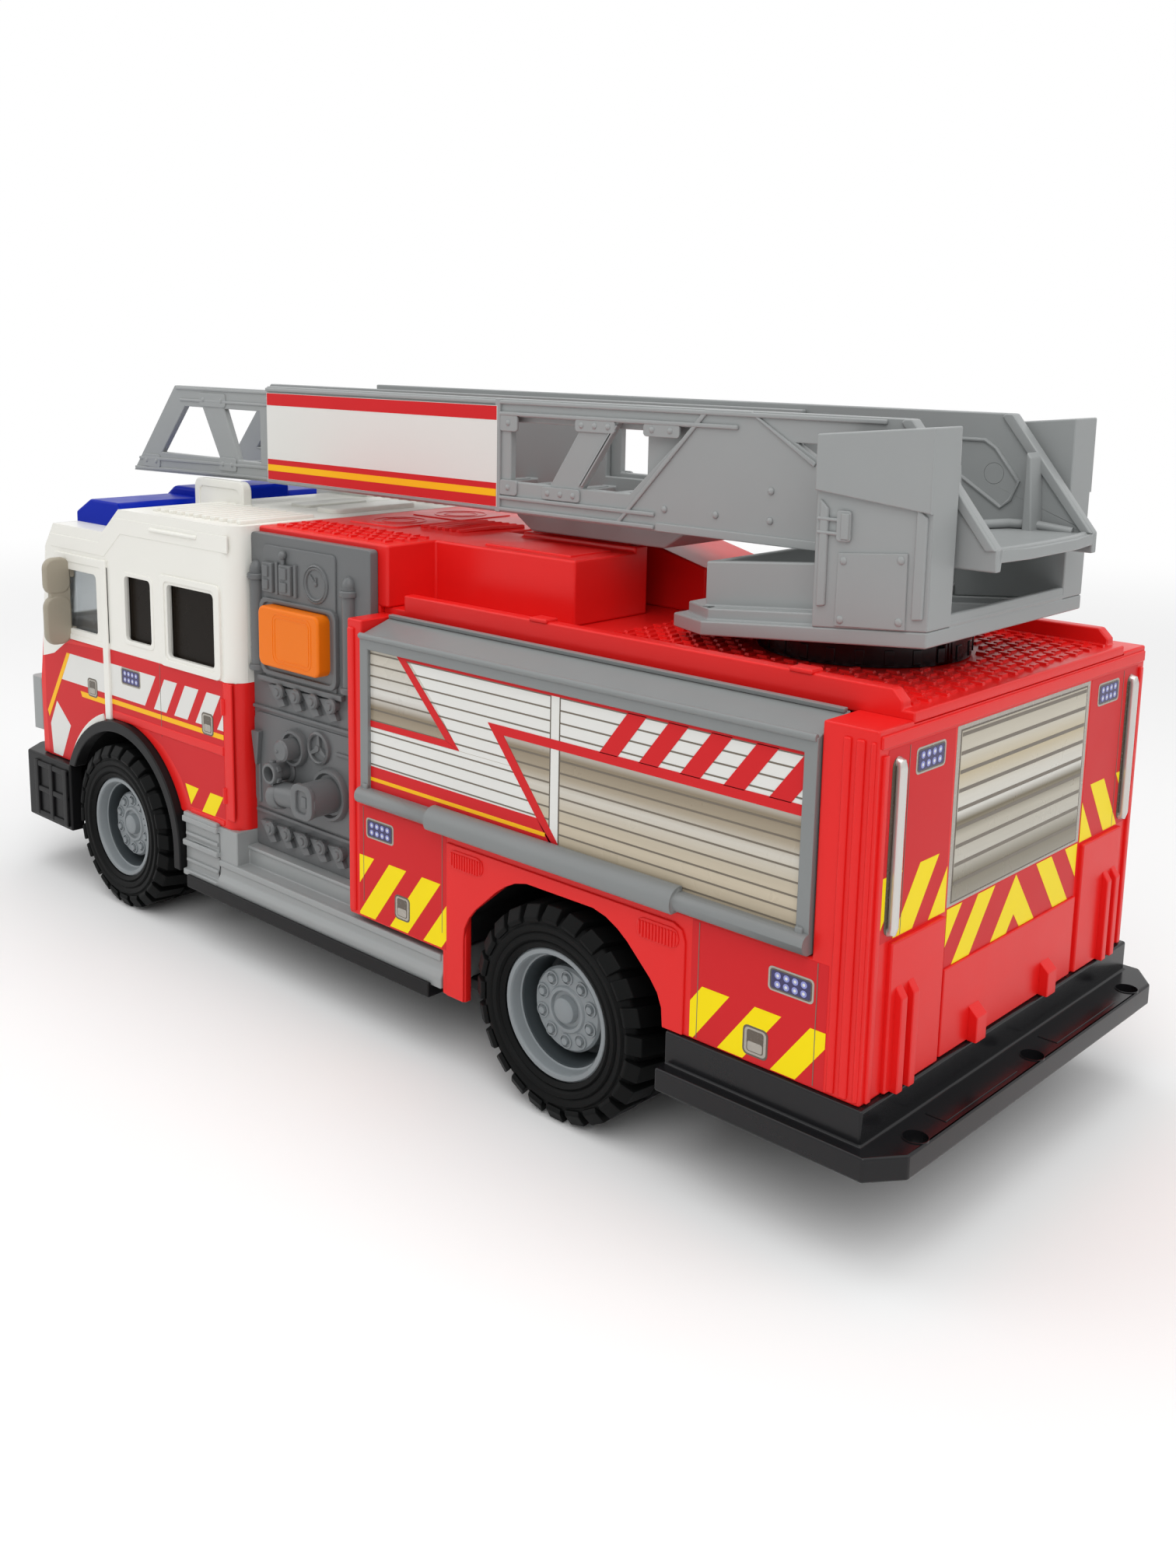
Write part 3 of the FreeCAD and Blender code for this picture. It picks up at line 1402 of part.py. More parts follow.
def ladder():
    """Base section of the ladder: two trussed rails, rungs and the platform behind them."""
    outer = c.rail_outer
    inner = outer - c.rail_thickness
    rail = Piece("rail_left")
    rail.pad("XZ", [[
        (at(c.tray_back), c.rail_bottom),
        (at(c.rail_front), c.rail_bottom),
        (at(c.rail_front), c.rail_top),
        (at(c.rail_back_top), c.rail_top),
        (at(c.tray_back), c.rail_bottom + c.chord),
    ]], (inner, outer))
    low = c.rail_bottom + c.web_low
    high = c.rail_top - c.chord
    # Truss openings: back and front along the lower chord, front and back along the upper chord
    for low_back, low_front, high_front, high_back in (
            (c.strut_front, c.box_back, c.box_back, c.strut_front - c.strut_lean),
            (c.plate_front, c.strut_front - c.strut_width, c.strut_front - c.strut_width
             - c.strut_lean, c.plate_front - c.plate_lean)):
        rail.pocket("XZ", [[(at(low_back), low), (at(low_front), low), (at(high_front), high),
                            (at(high_back), high)]], (inner - 1, outer + 1))
    rail.pocket("XZ", [[(at(c.plate_back), high - 2), (at(c.plate_back - c.eye_length), high - 2),
                        (at(c.plate_back - c.eye_length), high - 2 - c.eye_depth)]],
                (inner - 1, outer + 1))
    bore = ("circle", at(c.lift_x), c.lift_z, c.lift_pin_radius + c.running_clearance)
    rail.pocket("XZ", [bore], (inner - 1, outer + 1))
    solids = [rail.body, mirror("rail_right", rail.body)]
    for number in range(13):
        station = c.rung_start + c.rung_pitch * number
        solids.append(block("rung_%d" % number, (at(station), at(station + c.rung_width)),
                            (-inner, inner), (c.rail_bottom, c.rail_bottom + c.rung_height)))
    tray = Piece("tray")
    tray.pad("XY", [both_sides([
        (at(c.tray_back), inner),
        (at(c.tray_front), inner),
    ]) + [(at(c.tray_back - c.tray_bulge), -inner / 2), (at(c.tray_back - c.tray_bulge), inner / 2)]],
        (c.rail_bottom + c.tray_rise, c.rail_bottom + c.tray_rise + c.tray_thickness))
    solids.append(tray.body)
    whole = fuse("ladder_base_whole", *solids)
    whole.Label = "ladder_base"
    keep(whole)
    sign = block("sign_left", (at(c.sign_back), at(c.rail_front - 1)),
                 (outer, outer + c.sign_proud), (c.rail_bottom + 1.4, c.rail_top - 2))
    keep(pair("sign_boards", sign))

    keel = Piece("ladder_keel")
    keel.pad("XZ", [[
        (at(c.keel_back), c.rail_bottom),
        (at(c.keel_back), c.rail_bottom - 2),
        (at(c.keel_back + c.keel_slope), c.rail_bottom - c.keel_depth),
        (at(c.keel_front - c.keel_slope), c.rail_bottom - c.keel_depth),
        (at(c.keel_front), c.rail_bottom - 2),
        (at(c.keel_front), c.rail_bottom),
    ]], (-c.keel_half_width, c.keel_half_width))
    keep(keel.body)


def fly():
    """Sliding front section of the ladder."""
    outer = c.rail_outer - c.rail_thickness - c.slide_gap
    inner = outer - c.fly_thickness
    low = c.rail_bottom + c.rung_height + c.slide_gap
    piece = Piece("fly_rail_left")
    top = c.rail_top - c.fly_drop
    start = c.rail_front + c.moving_gap
    piece.pad("XZ", [[
        (at(c.fly_back), low),
        (at(start), low),
        (at(start), c.rail_bottom),
        (at(c.fly_tip_bottom), c.rail_bottom - c.fly_sag),
        (at(c.fly_tip_top), top),
        (at(c.fly_back), top),
    ]], (inner, outer))
    bottom = c.rail_bottom + c.fly_chord_low - c.fly_sag
    head = top - c.fly_chord_high
    for gap in ("tip_gap_back", "tip_gap_front"):
        low_back, low_front, high_front, high_back = [
            at(getattr(c, gap + corner))
            for corner in ("_low_back", "_low_front", "_high_front", "_high_back")]
        piece.pocket("XZ", [[(low_back, bottom), (low_front, bottom), (high_front, head),
                             (high_back, head)]], (inner - 1, outer + 1))
    window = rectangle((at(c.fly_window_back), at(c.fly_window_front)),
                       (low + c.fly_window_low, top - c.fly_window_low))
    piece.pocket("XZ", [window], (inner - 1, outer + 1))
    solids = [piece.body, mirror("fly_rail_right", piece.body)]
    for number in range(15):
        station = c.fly_back + c.rung_pitch * number
        base = low if number < 11 else c.rail_bottom
        solids.append(block("fly_rung_%d" % number, (at(station), at(station + c.rung_width)),
                            (-inner, inner), (base, base + c.rung_height)))
    whole = fuse("ladder_fly_whole", *solids)
    whole.Label = "ladder_fly"
    keep(whole)


ladder()
fly()


# ---------------------------------------------------------------- checks and export

doc.recompute()
for item in doc.Objects:
    faults = [state for state in item.State if "Invalid" in state or "Error" in state]
    if faults:
        raise RuntimeError("%s is %s" % (item.Label, ", ".join(faults)))
os.makedirs("parts", exist_ok=True)
for name, item in NODES.items():
    shape = item.Shape
    if shape.isNull() or not shape.isValid() or not shape.Solids:
        raise RuntimeError(name + " has no valid shape")
    shape.exportStep("parts/%s.step" % name)
    print("%-20s %d solids %10.1f mm3" % (name, len(shape.Solids), shape.Volume))
print(len(NODES), "nodes")
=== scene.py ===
"""Dressed model of a toy ladder fire engine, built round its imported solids.

Sizes are millimetres. X is a station measured forward from the rear axle, Y is to the left
and Z is up, as in the part's own source; a finished piece is scaled to metres and moved to
the frame once, in its mesh.
"""
import json
import logging
import math
from dataclasses import dataclass, field
from enum import Enum
from typing import Iterable, Optional, Sequence

import bmesh
import bpy
from mathutils import Matrix, Vector


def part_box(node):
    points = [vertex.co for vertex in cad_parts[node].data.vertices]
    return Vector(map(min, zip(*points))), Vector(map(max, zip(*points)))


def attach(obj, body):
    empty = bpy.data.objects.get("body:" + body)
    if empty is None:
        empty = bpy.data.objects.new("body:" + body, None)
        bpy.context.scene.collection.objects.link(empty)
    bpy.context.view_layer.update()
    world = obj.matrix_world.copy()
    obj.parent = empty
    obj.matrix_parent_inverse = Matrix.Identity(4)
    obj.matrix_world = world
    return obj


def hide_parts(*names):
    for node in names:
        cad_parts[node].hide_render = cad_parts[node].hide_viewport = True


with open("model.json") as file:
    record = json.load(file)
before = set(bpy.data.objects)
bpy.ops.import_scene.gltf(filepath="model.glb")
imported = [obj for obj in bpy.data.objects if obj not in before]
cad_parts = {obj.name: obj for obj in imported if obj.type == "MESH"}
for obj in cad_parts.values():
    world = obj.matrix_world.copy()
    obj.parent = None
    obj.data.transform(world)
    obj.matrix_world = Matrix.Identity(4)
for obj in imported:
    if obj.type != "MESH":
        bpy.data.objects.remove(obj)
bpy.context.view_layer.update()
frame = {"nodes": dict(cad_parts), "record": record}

LOG = logging.getLogger("fire_engine")
MM = 0.001
MERGE = 0.002               # points of a copied node nearer than this are one
SEAM = 0.001                # points of a turned ring nearer than this are one
FLAT_ANGLE = 0.6            # faces of a copied node that meet flatter than this are one, degrees
EDGE_ANGLE = 28.0           # edges of a new mesh flatter than this are left, degrees
NODE_EDGE_ANGLE = 30.0      # the same for a copied node
ROD_ANGLE = 50.0            # the same for the rims of a round bar
RING_ANGLE = 60.0           # the same for a band with round corners
SMOOTH_ANGLE = 38.0         # edges flatter than this are shaded smooth, degrees
FILM_DEPTH = 0.08           # how far a printed film reaches into its face
FILM_LIFT = 0.05            # how far the lowest film stands off its face
FILM_STEP = 0.035           # how far each film stands off the one below it
GRAIN_DEPTH = 0.0001        # depth of the moulding's grain, metres
GLOSS_SPAN = (-0.05, 0.07)  # how far the roughness swings about its value
LEAST_ROUGHNESS = 0.02      # no surface is smoother than this
WHITE_LIGHT = (1, 1, 1, 1)  # linear red, green, blue and alpha
REAR_AXLE = sum(corner.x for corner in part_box("rear_axle")) / 2
TO_FRAME = Matrix.Translation((REAR_AXLE, 0.0, 0.0)) @ Matrix.Scale(MM, 4)
BODY_OF = {node: body for body, nodes in frame["record"]["behaviour"]["bodies"].items()
           for node in nodes}
Point = tuple[float, float]
Span = tuple[float, float]


# ---------------------------------------------------------------- finishes

def linear(red: int, green: int, blue: int) -> tuple[float, float, float, float]:
    """Turn a display colour of 0 to 255 into linear light.

    Args:
        red: Display red.
        green: Display green.
        blue: Display blue.

    Returns:
        The colour as linear red, green, blue and alpha.
    """
    parts = [value / 255 for value in (red, green, blue)]
    light = [p / 12.92 if p <= 0.04045 else ((p + 0.055) / 1.055) ** 2.4 for p in parts]
    return (light[0], light[1], light[2], 1.0)


def wire(tree: bpy.types.NodeTree, node: bpy.types.Node,
         inputs: dict[str | int, object]) -> None:
    """Give inputs of a node a link or a constant each.

    Args:
        tree: The node tree.
        node: The node.
        inputs: A socket or a constant by the input's name or number.
    """
    for name, value in inputs.items():
        if isinstance(value, bpy.types.NodeSocket):
            tree.links.new(value, node.inputs[name])
        else:
            node.inputs[name].default_value = value


def add_node(tree: bpy.types.NodeTree, kind: str, inputs: dict[str | int, object],
             **settings: str) -> bpy.types.Node:
    """Add a shader node.

    Args:
        tree: The node tree.
        kind: The node's type, without its "ShaderNode".
        inputs: A socket or a constant by the input's name or number.
        settings: Values of the node's own properties.

    Returns:
        The node.
    """
    node = tree.nodes.new("ShaderNode" + kind)
    for name, value in settings.items():
        setattr(node, name, value)
    wire(tree, node, inputs)
    return node


@dataclass(frozen=True)
class Finish:
    """A moulded or printed surface with mottled colour, grain and uneven gloss."""

    name: str
    slot: str
    colour: tuple[int, int, int]
    roughness: float = 0.34
    mottle: float = 0.05
    mottle_scale: float = 45.0
    grain: float = 0.08
    grain_scale: float = 1400.0
    metallic: float = 0.0
    transmission: float = 0.0
    ior: float = 1.46
    specular: float = 0.5

    def material(self) -> bpy.types.Material:
        """Return the finish's node material, made on first use."""
        found = bpy.data.materials.get(self.name)
        if found:
            return found
        made = bpy.data.materials.new(self.name)
        made.use_nodes = True
        tree = made.node_tree
        place = tree.nodes.new("ShaderNodeTexCoord").outputs["Object"]
        smoothest, roughest = (self.roughness + swing for swing in GLOSS_SPAN)
        gloss = add_node(tree, "MapRange", {
            "Value": self.noise(tree, place, self.mottle_scale * 3, 3.0),
            "To Min": max(smoothest, LEAST_ROUGHNESS), "To Max": roughest})
        wire(tree, tree.nodes["Principled BSDF"], {
            "Base Color": self.paint(tree, place), "Roughness": gloss.outputs["Result"],
            "Metallic": self.metallic, "Transmission Weight": self.transmission,
            "IOR": self.ior, "Specular IOR Level": self.specular,
            "Normal": self.relief(tree, place)})
        return made

    @staticmethod
    def noise(tree: bpy.types.NodeTree, place: bpy.types.NodeSocket, scale: float,
              detail: float) -> bpy.types.NodeSocket:
        """Add a noise pattern on Object coordinates.

        Args:
            tree: The material's node tree.
            place: The coordinates to read.
            scale: Patches per metre.
            detail: Octaves of finer noise.

        Returns:
            The pattern's factor, from 0 to 1.
        """
        pattern = {"Vector": place, "Scale": scale, "Detail": detail}
        return add_node(tree, "TexNoise", pattern).outputs["Fac"]

    def paint(self, tree: bpy.types.NodeTree,
              place: bpy.types.NodeSocket) -> bpy.types.NodeSocket:
        """Build the colour, lighter and darker in soft patches.

        Args:
            tree: The material's node tree.
            place: The coordinates to read.

        Returns:
            The colour socket.
        """
        base = linear(*self.colour)[:3]
        low = [channel * (1 - self.mottle) for channel in base]
        high = [min(channel * (1 + self.mottle), 1.0) for channel in base]
        mix = add_node(tree, "Mix", {
            "Factor": self.noise(tree, place, self.mottle_scale, 4.0),
            "A": (*low, 1.0), "B": (*high, 1.0)}, data_type="RGBA")
        return mix.outputs["Result"]

    def relief(self, tree: bpy.types.NodeTree,
               place: bpy.types.NodeSocket) -> bpy.types.NodeSocket:
        """Add the fine grain of the moulding.

        Args:
            tree: The material's node tree.
            place: The coordinates to read.

        Returns:
            The normal socket.
        """
        grain = self.noise(tree, place, self.grain_scale, 2.0)
        bump = add_node(tree, "Bump", {"Height": grain, "Strength": self.grain,
                                       "Distance": GRAIN_DEPTH})
        return bump.outputs["Normal"]


@dataclass(frozen=True)
class ShutterPrint(Finish):
    """Printed roller shutter: bands of warm grey that fade into each other up the door."""

    stops: tuple[tuple[float, tuple[int, int, int]], ...] = ()
    bottom: float = 70.0
    top: float = 111.0
    streak: tuple[float, float, float] = (0.25, 0.25, 6.0)

    def paint(self, tree: bpy.types.NodeTree,
              place: bpy.types.NodeSocket) -> bpy.types.NodeSocket:
        """Build the colour from a ramp over the height, stirred by long brushed streaks.

        Args:
            tree: The material's node tree.
            place: The coordinates to read.

        Returns:
            The colour socket.
        """
        split = add_node(tree, "SeparateXYZ", {"Vector": place})
        height = add_node(tree, "MapRange", {
            "Value": split.outputs["Z"], "From Min": self.bottom * MM,
            "From Max": self.top * MM})
        ramp = add_node(tree, "ValToRGB", {"Fac": height.outputs["Result"]})
        while len(ramp.color_ramp.elements) < len(self.stops):
            ramp.color_ramp.elements.new(0.5)
        for element, (spot, colour) in zip(ramp.color_ramp.elements, self.stops):
            element.position = spot
            element.color = linear(*colour)
        stretch = add_node(tree, "Mapping", {"Vector": place, "Scale": self.streak})
        streaks = self.noise(tree, stretch.outputs["Vector"], self.mottle_scale * 4, 3.0)
        mix = add_node(tree, "Mix", {
            "Factor": self.mottle, "A": ramp.outputs["Color"], "B": streaks},
            data_type="RGBA", blend_type="MULTIPLY")
        return mix.outputs["Result"]


def printed(name: str, colour: tuple[int, int, int], roughness: float = 0.3,
            **changes: float) -> Finish:
    """Return the finish of a printed film.

    Args:
        name: What the film shows.
        colour: Its display colour.
        roughness: Its roughness.
        changes: Other fields that differ from a plain finish.

    Returns:
        The finish.
    """
    return Finish("printed_" + name, "label", colour, roughness, grain=0.02, **changes)


RED = Finish("red_plastic", "red", (226, 30, 28), roughness=0.3, mottle=0.04, specular=0.3)
WHITE = Finish("white_plastic", "white", (234, 233, 226), roughness=0.3, mottle=0.015,
               specular=0.35)
GREY = Finish("grey_plastic", "grey", (150, 153, 153), roughness=0.33, mottle=0.04, grain=0.05,
              specular=0.4)
DOOR_GREY = Finish("door_grey_plastic", "grey", (128, 131, 131), roughness=0.33, mottle=0.04,
                   grain=0.05, specular=0.35)
# The panels' own darker grey with painted shade of their inset place added.
PANEL_GREY_AND_SHADE = Finish("panel_grey_plastic", "grey", (103, 105, 106), roughness=0.34, mottle=0.05,
                    specular=0.35)
BLACK = Finish("black_plastic", "black", (22, 22, 23), roughness=0.36, mottle=0.1, specular=0.18)
GLOSS_BLACK = Finish("gloss_black_plastic", "black", (24, 24, 26), roughness=0.2, specular=0.3)
RIM = Finish("rim_plastic", "rim_grey", (133, 139, 142), roughness=0.36, mottle=0.04,
             specular=0.4)
# Painted shade: the rims' grey darkened for the deep dish, where shade falls.
RIM_SHADE = Finish("rim_well_plastic", "rim_grey", (62, 68, 71), roughness=0.42, mottle=0.05,
                   specular=0.25)
RUBBER = Finish("tyre_plastic", "tyre_black", (14, 15, 15), roughness=0.5, mottle=0.12,
                grain=0.25, grain_scale=900.0, specular=0.1)
STEEL = Finish("axle_steel", "steel", (170, 172, 176), roughness=0.25, metallic=1.0)
SMOKED = Finish("smoked_pane", "smoked", (24, 18, 12), roughness=0.25, specular=0.08)
CLEAR = Finish("clear_pane", "clear", (226, 230, 232), roughness=0.06, mottle=0.01, grain=0.01,
               transmission=0.94, ior=1.49)
BLUE = Finish("blue_lens", "blue", (4, 34, 160), roughness=0.3, mottle=0.03, grain=0.03,
              specular=0.06)
BEIGE = Finish("mirror_plastic", "beige", (160, 152, 136), roughness=0.36, specular=0.35)
ORANGE = Finish("orange_plastic", "orange", (236, 118, 8), roughness=0.4, mottle=0.03,
                specular=0.25)
CHROME = Finish("silver_plastic", "silver", (206, 204, 200), roughness=0.22, metallic=0.55)
INSIDE = Finish("interior_plastic", "dark_interior", (92, 94, 98), roughness=0.5)
BATTERY = Finish("battery_plastic", "battery", (32, 32, 33), roughness=0.5)
PRINT_RED = printed("red", (206, 38, 42), mottle=0.03, specular=0.12)
PRINT_WHITE = printed("white", (222, 222, 218), mottle=0.015, specular=0.35)
PRINT_YELLOW = printed("yellow", (248, 222, 4), mottle=0.02, specular=0.15)
PRINT_AMBER = printed("amber", (250, 188, 22), mottle=0.02, specular=0.15)
PRINT_LINE = printed("slat_line", (108, 99, 86), mottle=0.15, mottle_scale=120.0)
PRINT_VIOLET = printed("violet", (52, 46, 92), 0.25, mottle=0.2, mottle_scale=600.0)
PRINT_LILAC = printed("lilac", (142, 146, 208), 0.25, mottle=0.12, mottle_scale=900.0)
PRINT_SILVER = printed("silver", (168, 162, 152), 0.25, mottle=0.1, mottle_scale=400.0)
PRINT_TAUPE = printed("taupe", (92, 83, 72), 0.25, mottle=0.12, mottle_scale=400.0)
SIDE_SHUTTER = ShutterPrint(
    "printed_side_shutter", "label", (200, 194, 184), roughness=0.28, mottle=0.1, grain=0.02,
    specular=0.35,
    stops=((0.0, (178, 164, 140)), (0.14, (200, 188, 166)), (0.22, (192, 181, 160)),
           (0.36, (206, 201, 190)), (0.44, (168, 156, 136)), (0.56, (140, 127, 106)),
           (0.6, (190, 184, 174)), (0.66, (216, 214, 208)), (0.8, (204, 199, 188)),
           (1.0, (196, 188, 172))))
REAR_SHUTTER = ShutterPrint(
    "printed_rear_shutter", "label", (200, 196, 186), roughness=0.28, mottle=0.1, grain=0.02,
    specular=0.35,
    stops=((0.0, (160, 155, 142)), (0.16, (122, 114, 94)), (0.26, (196, 192, 180)),
           (0.4, (186, 180, 164)), (0.48, (104, 92, 62)), (0.53, (218, 216, 208)),
           (0.62, (212, 208, 196)), (0.74, (196, 182, 150)), (0.84, (206, 200, 184)),
           (1.0, (184, 176, 158))))


# ---------------------------------------------------------------- shaping tools

class Side(Enum):
    """A side of the toy."""

    LEFT = 1
    RIGHT = -1


class Face(Enum):
    """A flat face to print on, by the axis that its normal follows."""

    SIDE = "Y"
    REAR = "X"


def rectangle(across: Span, up: Span) -> list[Point]:
    """Return the corners of a rectangle from its two spans."""
    return [(across[0], up[0]), (across[1], up[0]), (across[1], up[1]), (across[0], up[1])]


def rounded(across: Span, up: Span, radius: float, steps: int = 4) -> list[Point]:
    """Lay out a rectangle with round corners.

    Args:
        across: Low and high on the first axis.
        up: Low and high on the second axis.
        radius: Radius of the corners.
        steps: Sides of each corner.

    Returns:
        The outline's points.
    """
    points = []
    for number, (a, b) in enumerate(((across[1], up[1]), (across[0], up[1]),
                                     (across[0], up[0]), (across[1], up[0]))):
        turn_a = -1 if a == across[1] else 1
        turn_b = -1 if b == up[1] else 1
        for step in range(steps + 1):
            angle = math.radians(90 * (number + step / steps))
            points.append((a + turn_a * radius + radius * math.cos(angle),
                           b + turn_b * radius + radius * math.sin(angle)))
    return points


def raised(level: float, lift: float, sink: float = 0.3) -> Span:
    """Return the span of a relief that stands off a face and is sunk a little into it."""
    return (level - sink, level + lift)


def inset(span: Span, margin: float) -> Span:
    """Return a span that is shorter by a margin at both ends."""
    return (span[0] + margin, span[1] - margin)


def placed(span: Span, side: Side) -> Span:
    """Return a span that is given for the left as it lies on a side."""
    return span if side is Side.LEFT else (-span[1], -span[0])


def circle(a: float, b: float, radius: float, sides: int = 20) -> list[Point]:
    """Return the points of a circle."""
    return [(a + radius * math.cos(2 * math.pi * n / sides),
             b + radius * math.sin(2 * math.pi * n / sides)) for n in range(sides)]


class Shape:
    """A piece in the making."""

    AXES = {
        "X": Matrix(((0, 0, 1, 0), (1, 0, 0, 0), (0, 1, 0, 0), (0, 0, 0, 1))),
        "Y": Matrix(((1, 0, 0, 0), (0, 0, 1, 0), (0, 1, 0, 0), (0, 0, 0, 1))),
        "Z": Matrix.Identity(4),
    }

    def __init__(self) -> None:
        """Start an empty piece."""
        self.bm = bmesh.new()

    @classmethod
    def of_node(cls, node: str) -> "Shape":
        """Copy a CAD node, merged and with its flat faces made whole.

        Args:
            node: The node's name.

        Returns:
            The copied piece.
        """
        shape = cls()
        shape.bm.from_mesh(frame["nodes"][node].data)
        bmesh.ops.transform(shape.bm, matrix=TO_FRAME.inverted(), verts=shape.bm.verts)
        bmesh.ops.remove_doubles(shape.bm, verts=shape.bm.verts, dist=MERGE)
        bmesh.ops.dissolve_limit(shape.bm, angle_limit=math.radians(FLAT_ANGLE),
                                 verts=shape.bm.verts, edges=shape.bm.edges,
                                 delimit={"NORMAL"})
        return shape

    @classmethod
    def eased(cls, node: str, width: float, steps: int = 2,
              angle: float = NODE_EDGE_ANGLE, shortest: float = 0.0) -> "Shape":
        """Copy a CAD node and round its edges.

        Args:
            node: The node's name.
            width: Width of the rounding.
            steps: Sides of the rounding.
            angle: Edges flatter than this, in degrees, are left.
            shortest: Edges shorter than this are left.

        Returns:
            The copied piece.
        """
        shape = cls.of_node(node)
        cls.ease(shape.bm, width, steps, angle, shortest)
        return shape

    def add(self, other: bmesh.types.BMesh, matrix: Matrix = Matrix.Identity(4)) -> "Shape":
        """Move another mesh into this piece.

        Args:
            other: The mesh, which is freed.
            matrix: Where it goes.

        Returns:
            This piece.
        """
        bmesh.ops.transform(other, matrix=matrix, verts=other.verts)
        bmesh.ops.recalc_face_normals(other, faces=other.faces)
        return self.take(other)

    def take(self, other: bmesh.types.BMesh) -> "Shape":
        """Take in another mesh, which is freed."""
        mesh = bpy.data.meshes.new("part")
        other.to_mesh(mesh)
        other.free()
        self.bm.from_mesh(mesh)
        bpy.data.meshes.remove(mesh)
        return self

    def prism(self, axis: str, points: Sequence[Point], span: Span, edge: float = 0.0,
              clip: Optional[Sequence[Point]] = None, steps: int = 2) -> "Shape":
        """Extrude an outline along an axis.

        Args:
            axis: The axis of the extrusion.
            points: The outline on the other two axes, in X, Y, Z order.
            span: Where it starts and ends on the axis.
            edge: Width of the rounding of its edges.
            clip: A convex outline, counter-clockwise, that the first one is cut to.
            steps: Sides of the rounding.

        Returns:
            This piece.
        """
        flat = bmesh.new()
        flat.faces.new([flat.verts.new((a, b, span[0])) for a, b in points])
        for number in range(len(clip or ())):
            start = Vector((*clip[number], span[0]))
            along = Vector((*clip[(number + 1) % len(clip)], span[0])) - start
            everything = flat.verts[:] + flat.edges[:] + flat.faces[:]
            bmesh.ops.bisect_plane(flat, geom=everything, plane_co=start, clear_outer=True,
                                   plane_no=Vector((along.y, -along.x, 0)))
        if not flat.faces:
            flat.free()
            return self
        self.thicken(flat, span)
        if edge:
            self.ease(flat, edge, steps)
        return self.add(flat, self.AXES[axis])

    @staticmethod
    def thicken(flat: bmesh.types.BMesh, span: Span) -> None:
        """Extrude flat faces along Z from the start of a span to its end."""
        grown = bmesh.ops.extrude_face_region(flat, geom=flat.faces[:])
        risen = [item for item in grown["geom"] if isinstance(item, bmesh.types.BMVert)]
        bmesh.ops.translate(flat, verts=risen, vec=(0, 0, span[1] - span[0]))

    def ring(self, axis: str, outer: Sequence[Point], inner: Sequence[Point], span: Span,
             edge: float = 0.0) -> "Shape":
        """Extrude the band between two outlines with the same number of points.

        Args:
            axis: The axis of the extrusion.
            outer: The band's outline.
            inner: The opening's outline.
            span: Where it starts and ends on the axis.
            edge: Width of the rounding of its edges.

        Returns:
            This piece.
        """
        flat = bmesh.new()
        loops = [[flat.verts.new((a, b, span[0])) for a, b in line] for line in (outer, inner)]
        for number in range(len(outer)):
            after = (number + 1) % len(outer)
            flat.faces.new((loops[0][number], loops[0][after], loops[1][after],
                            loops[1][number]))
        self.thicken(flat, span)
        if edge:
            self.ease(flat, edge, angle=RING_ANGLE)
        return self.add(flat, self.AXES[axis])

    @staticmethod
    def ease(mesh: bmesh.types.BMesh, width: float, steps: int = 2,
             angle: float = EDGE_ANGLE, shortest: float = 0.0) -> None:
        """Round the edges of a mesh that are sharper than an angle.

        Args:
            mesh: The mesh.
            width: Width of the rounding.
            steps: Sides of the rounding.
            angle: Edges flatter than this, in degrees, are left.
            shortest: Edges shorter than this are left.
        """
        sharp = [edge for edge in mesh.edges if len(edge.link_faces) == 2
                 and edge.calc_face_angle(0) > math.radians(angle)
                 and edge.calc_length() >= shortest]
        bmesh.ops.bevel(mesh, geom=sharp, offset=width, offset_type="OFFSET", segments=steps,
                        profile=0.5, affect="EDGES", material=-1, clamp_overlap=not shortest)

    def box(self, x: Span, y: Span, z: Span, edge: float = 0.0) -> "Shape":
        """Add a block between three spans, with eased edges."""
        return self.prism("Z", rectangle(x, y), z, edge)

    def rod(self, axis: str, centre: Point, span: Span, radius: float, edge: float = 0.0,
            sides: int = 24, tip: Optional[float] = None) -> "Shape":
        """Add a round bar or a cone.

        Args:
            axis: The axis along it.
            centre: Its centre on the other two axes, in X, Y, Z order.
            span: Where it starts and ends on the axis.
            radius: Its radius at the start.
            edge: Width of the rounding of its rims.
            sides: Sides round it.
            tip: Its radius at the end, where that differs.

        Returns:
            This piece.
        """
        bar = bmesh.new()
        end = radius if tip is None else tip
        bmesh.ops.create_cone(bar, cap_ends=True, segments=sides, radius1=radius, radius2=end,
                              depth=span[1] - span[0])
        middle = Vector((centre[0], centre[1], (span[0] + span[1]) / 2))
        bmesh.ops.translate(bar, verts=bar.verts, vec=middle)
        if edge:
            self.ease(bar, edge, angle=ROD_ANGLE)
        return self.add(bar, self.AXES[axis])

    def ball(self, centre: Sequence[float], radius: float,
             scale: Sequence[float] = (1, 1, 1), sides: int = 20) -> "Shape":
        """Add a ball, stretched along the axes.

        Args:
            centre: Its middle.
            radius: Its radius.
            scale: Stretch along X, Y and Z.
            sides: Sides round it.

        Returns:
            This piece.
        """
        ball = bmesh.new()
        bmesh.ops.create_uvsphere(ball, u_segments=sides, v_segments=sides // 2, radius=radius)
        return self.add(ball, Matrix.Translation(centre) @ Matrix.Diagonal((*scale, 1)))

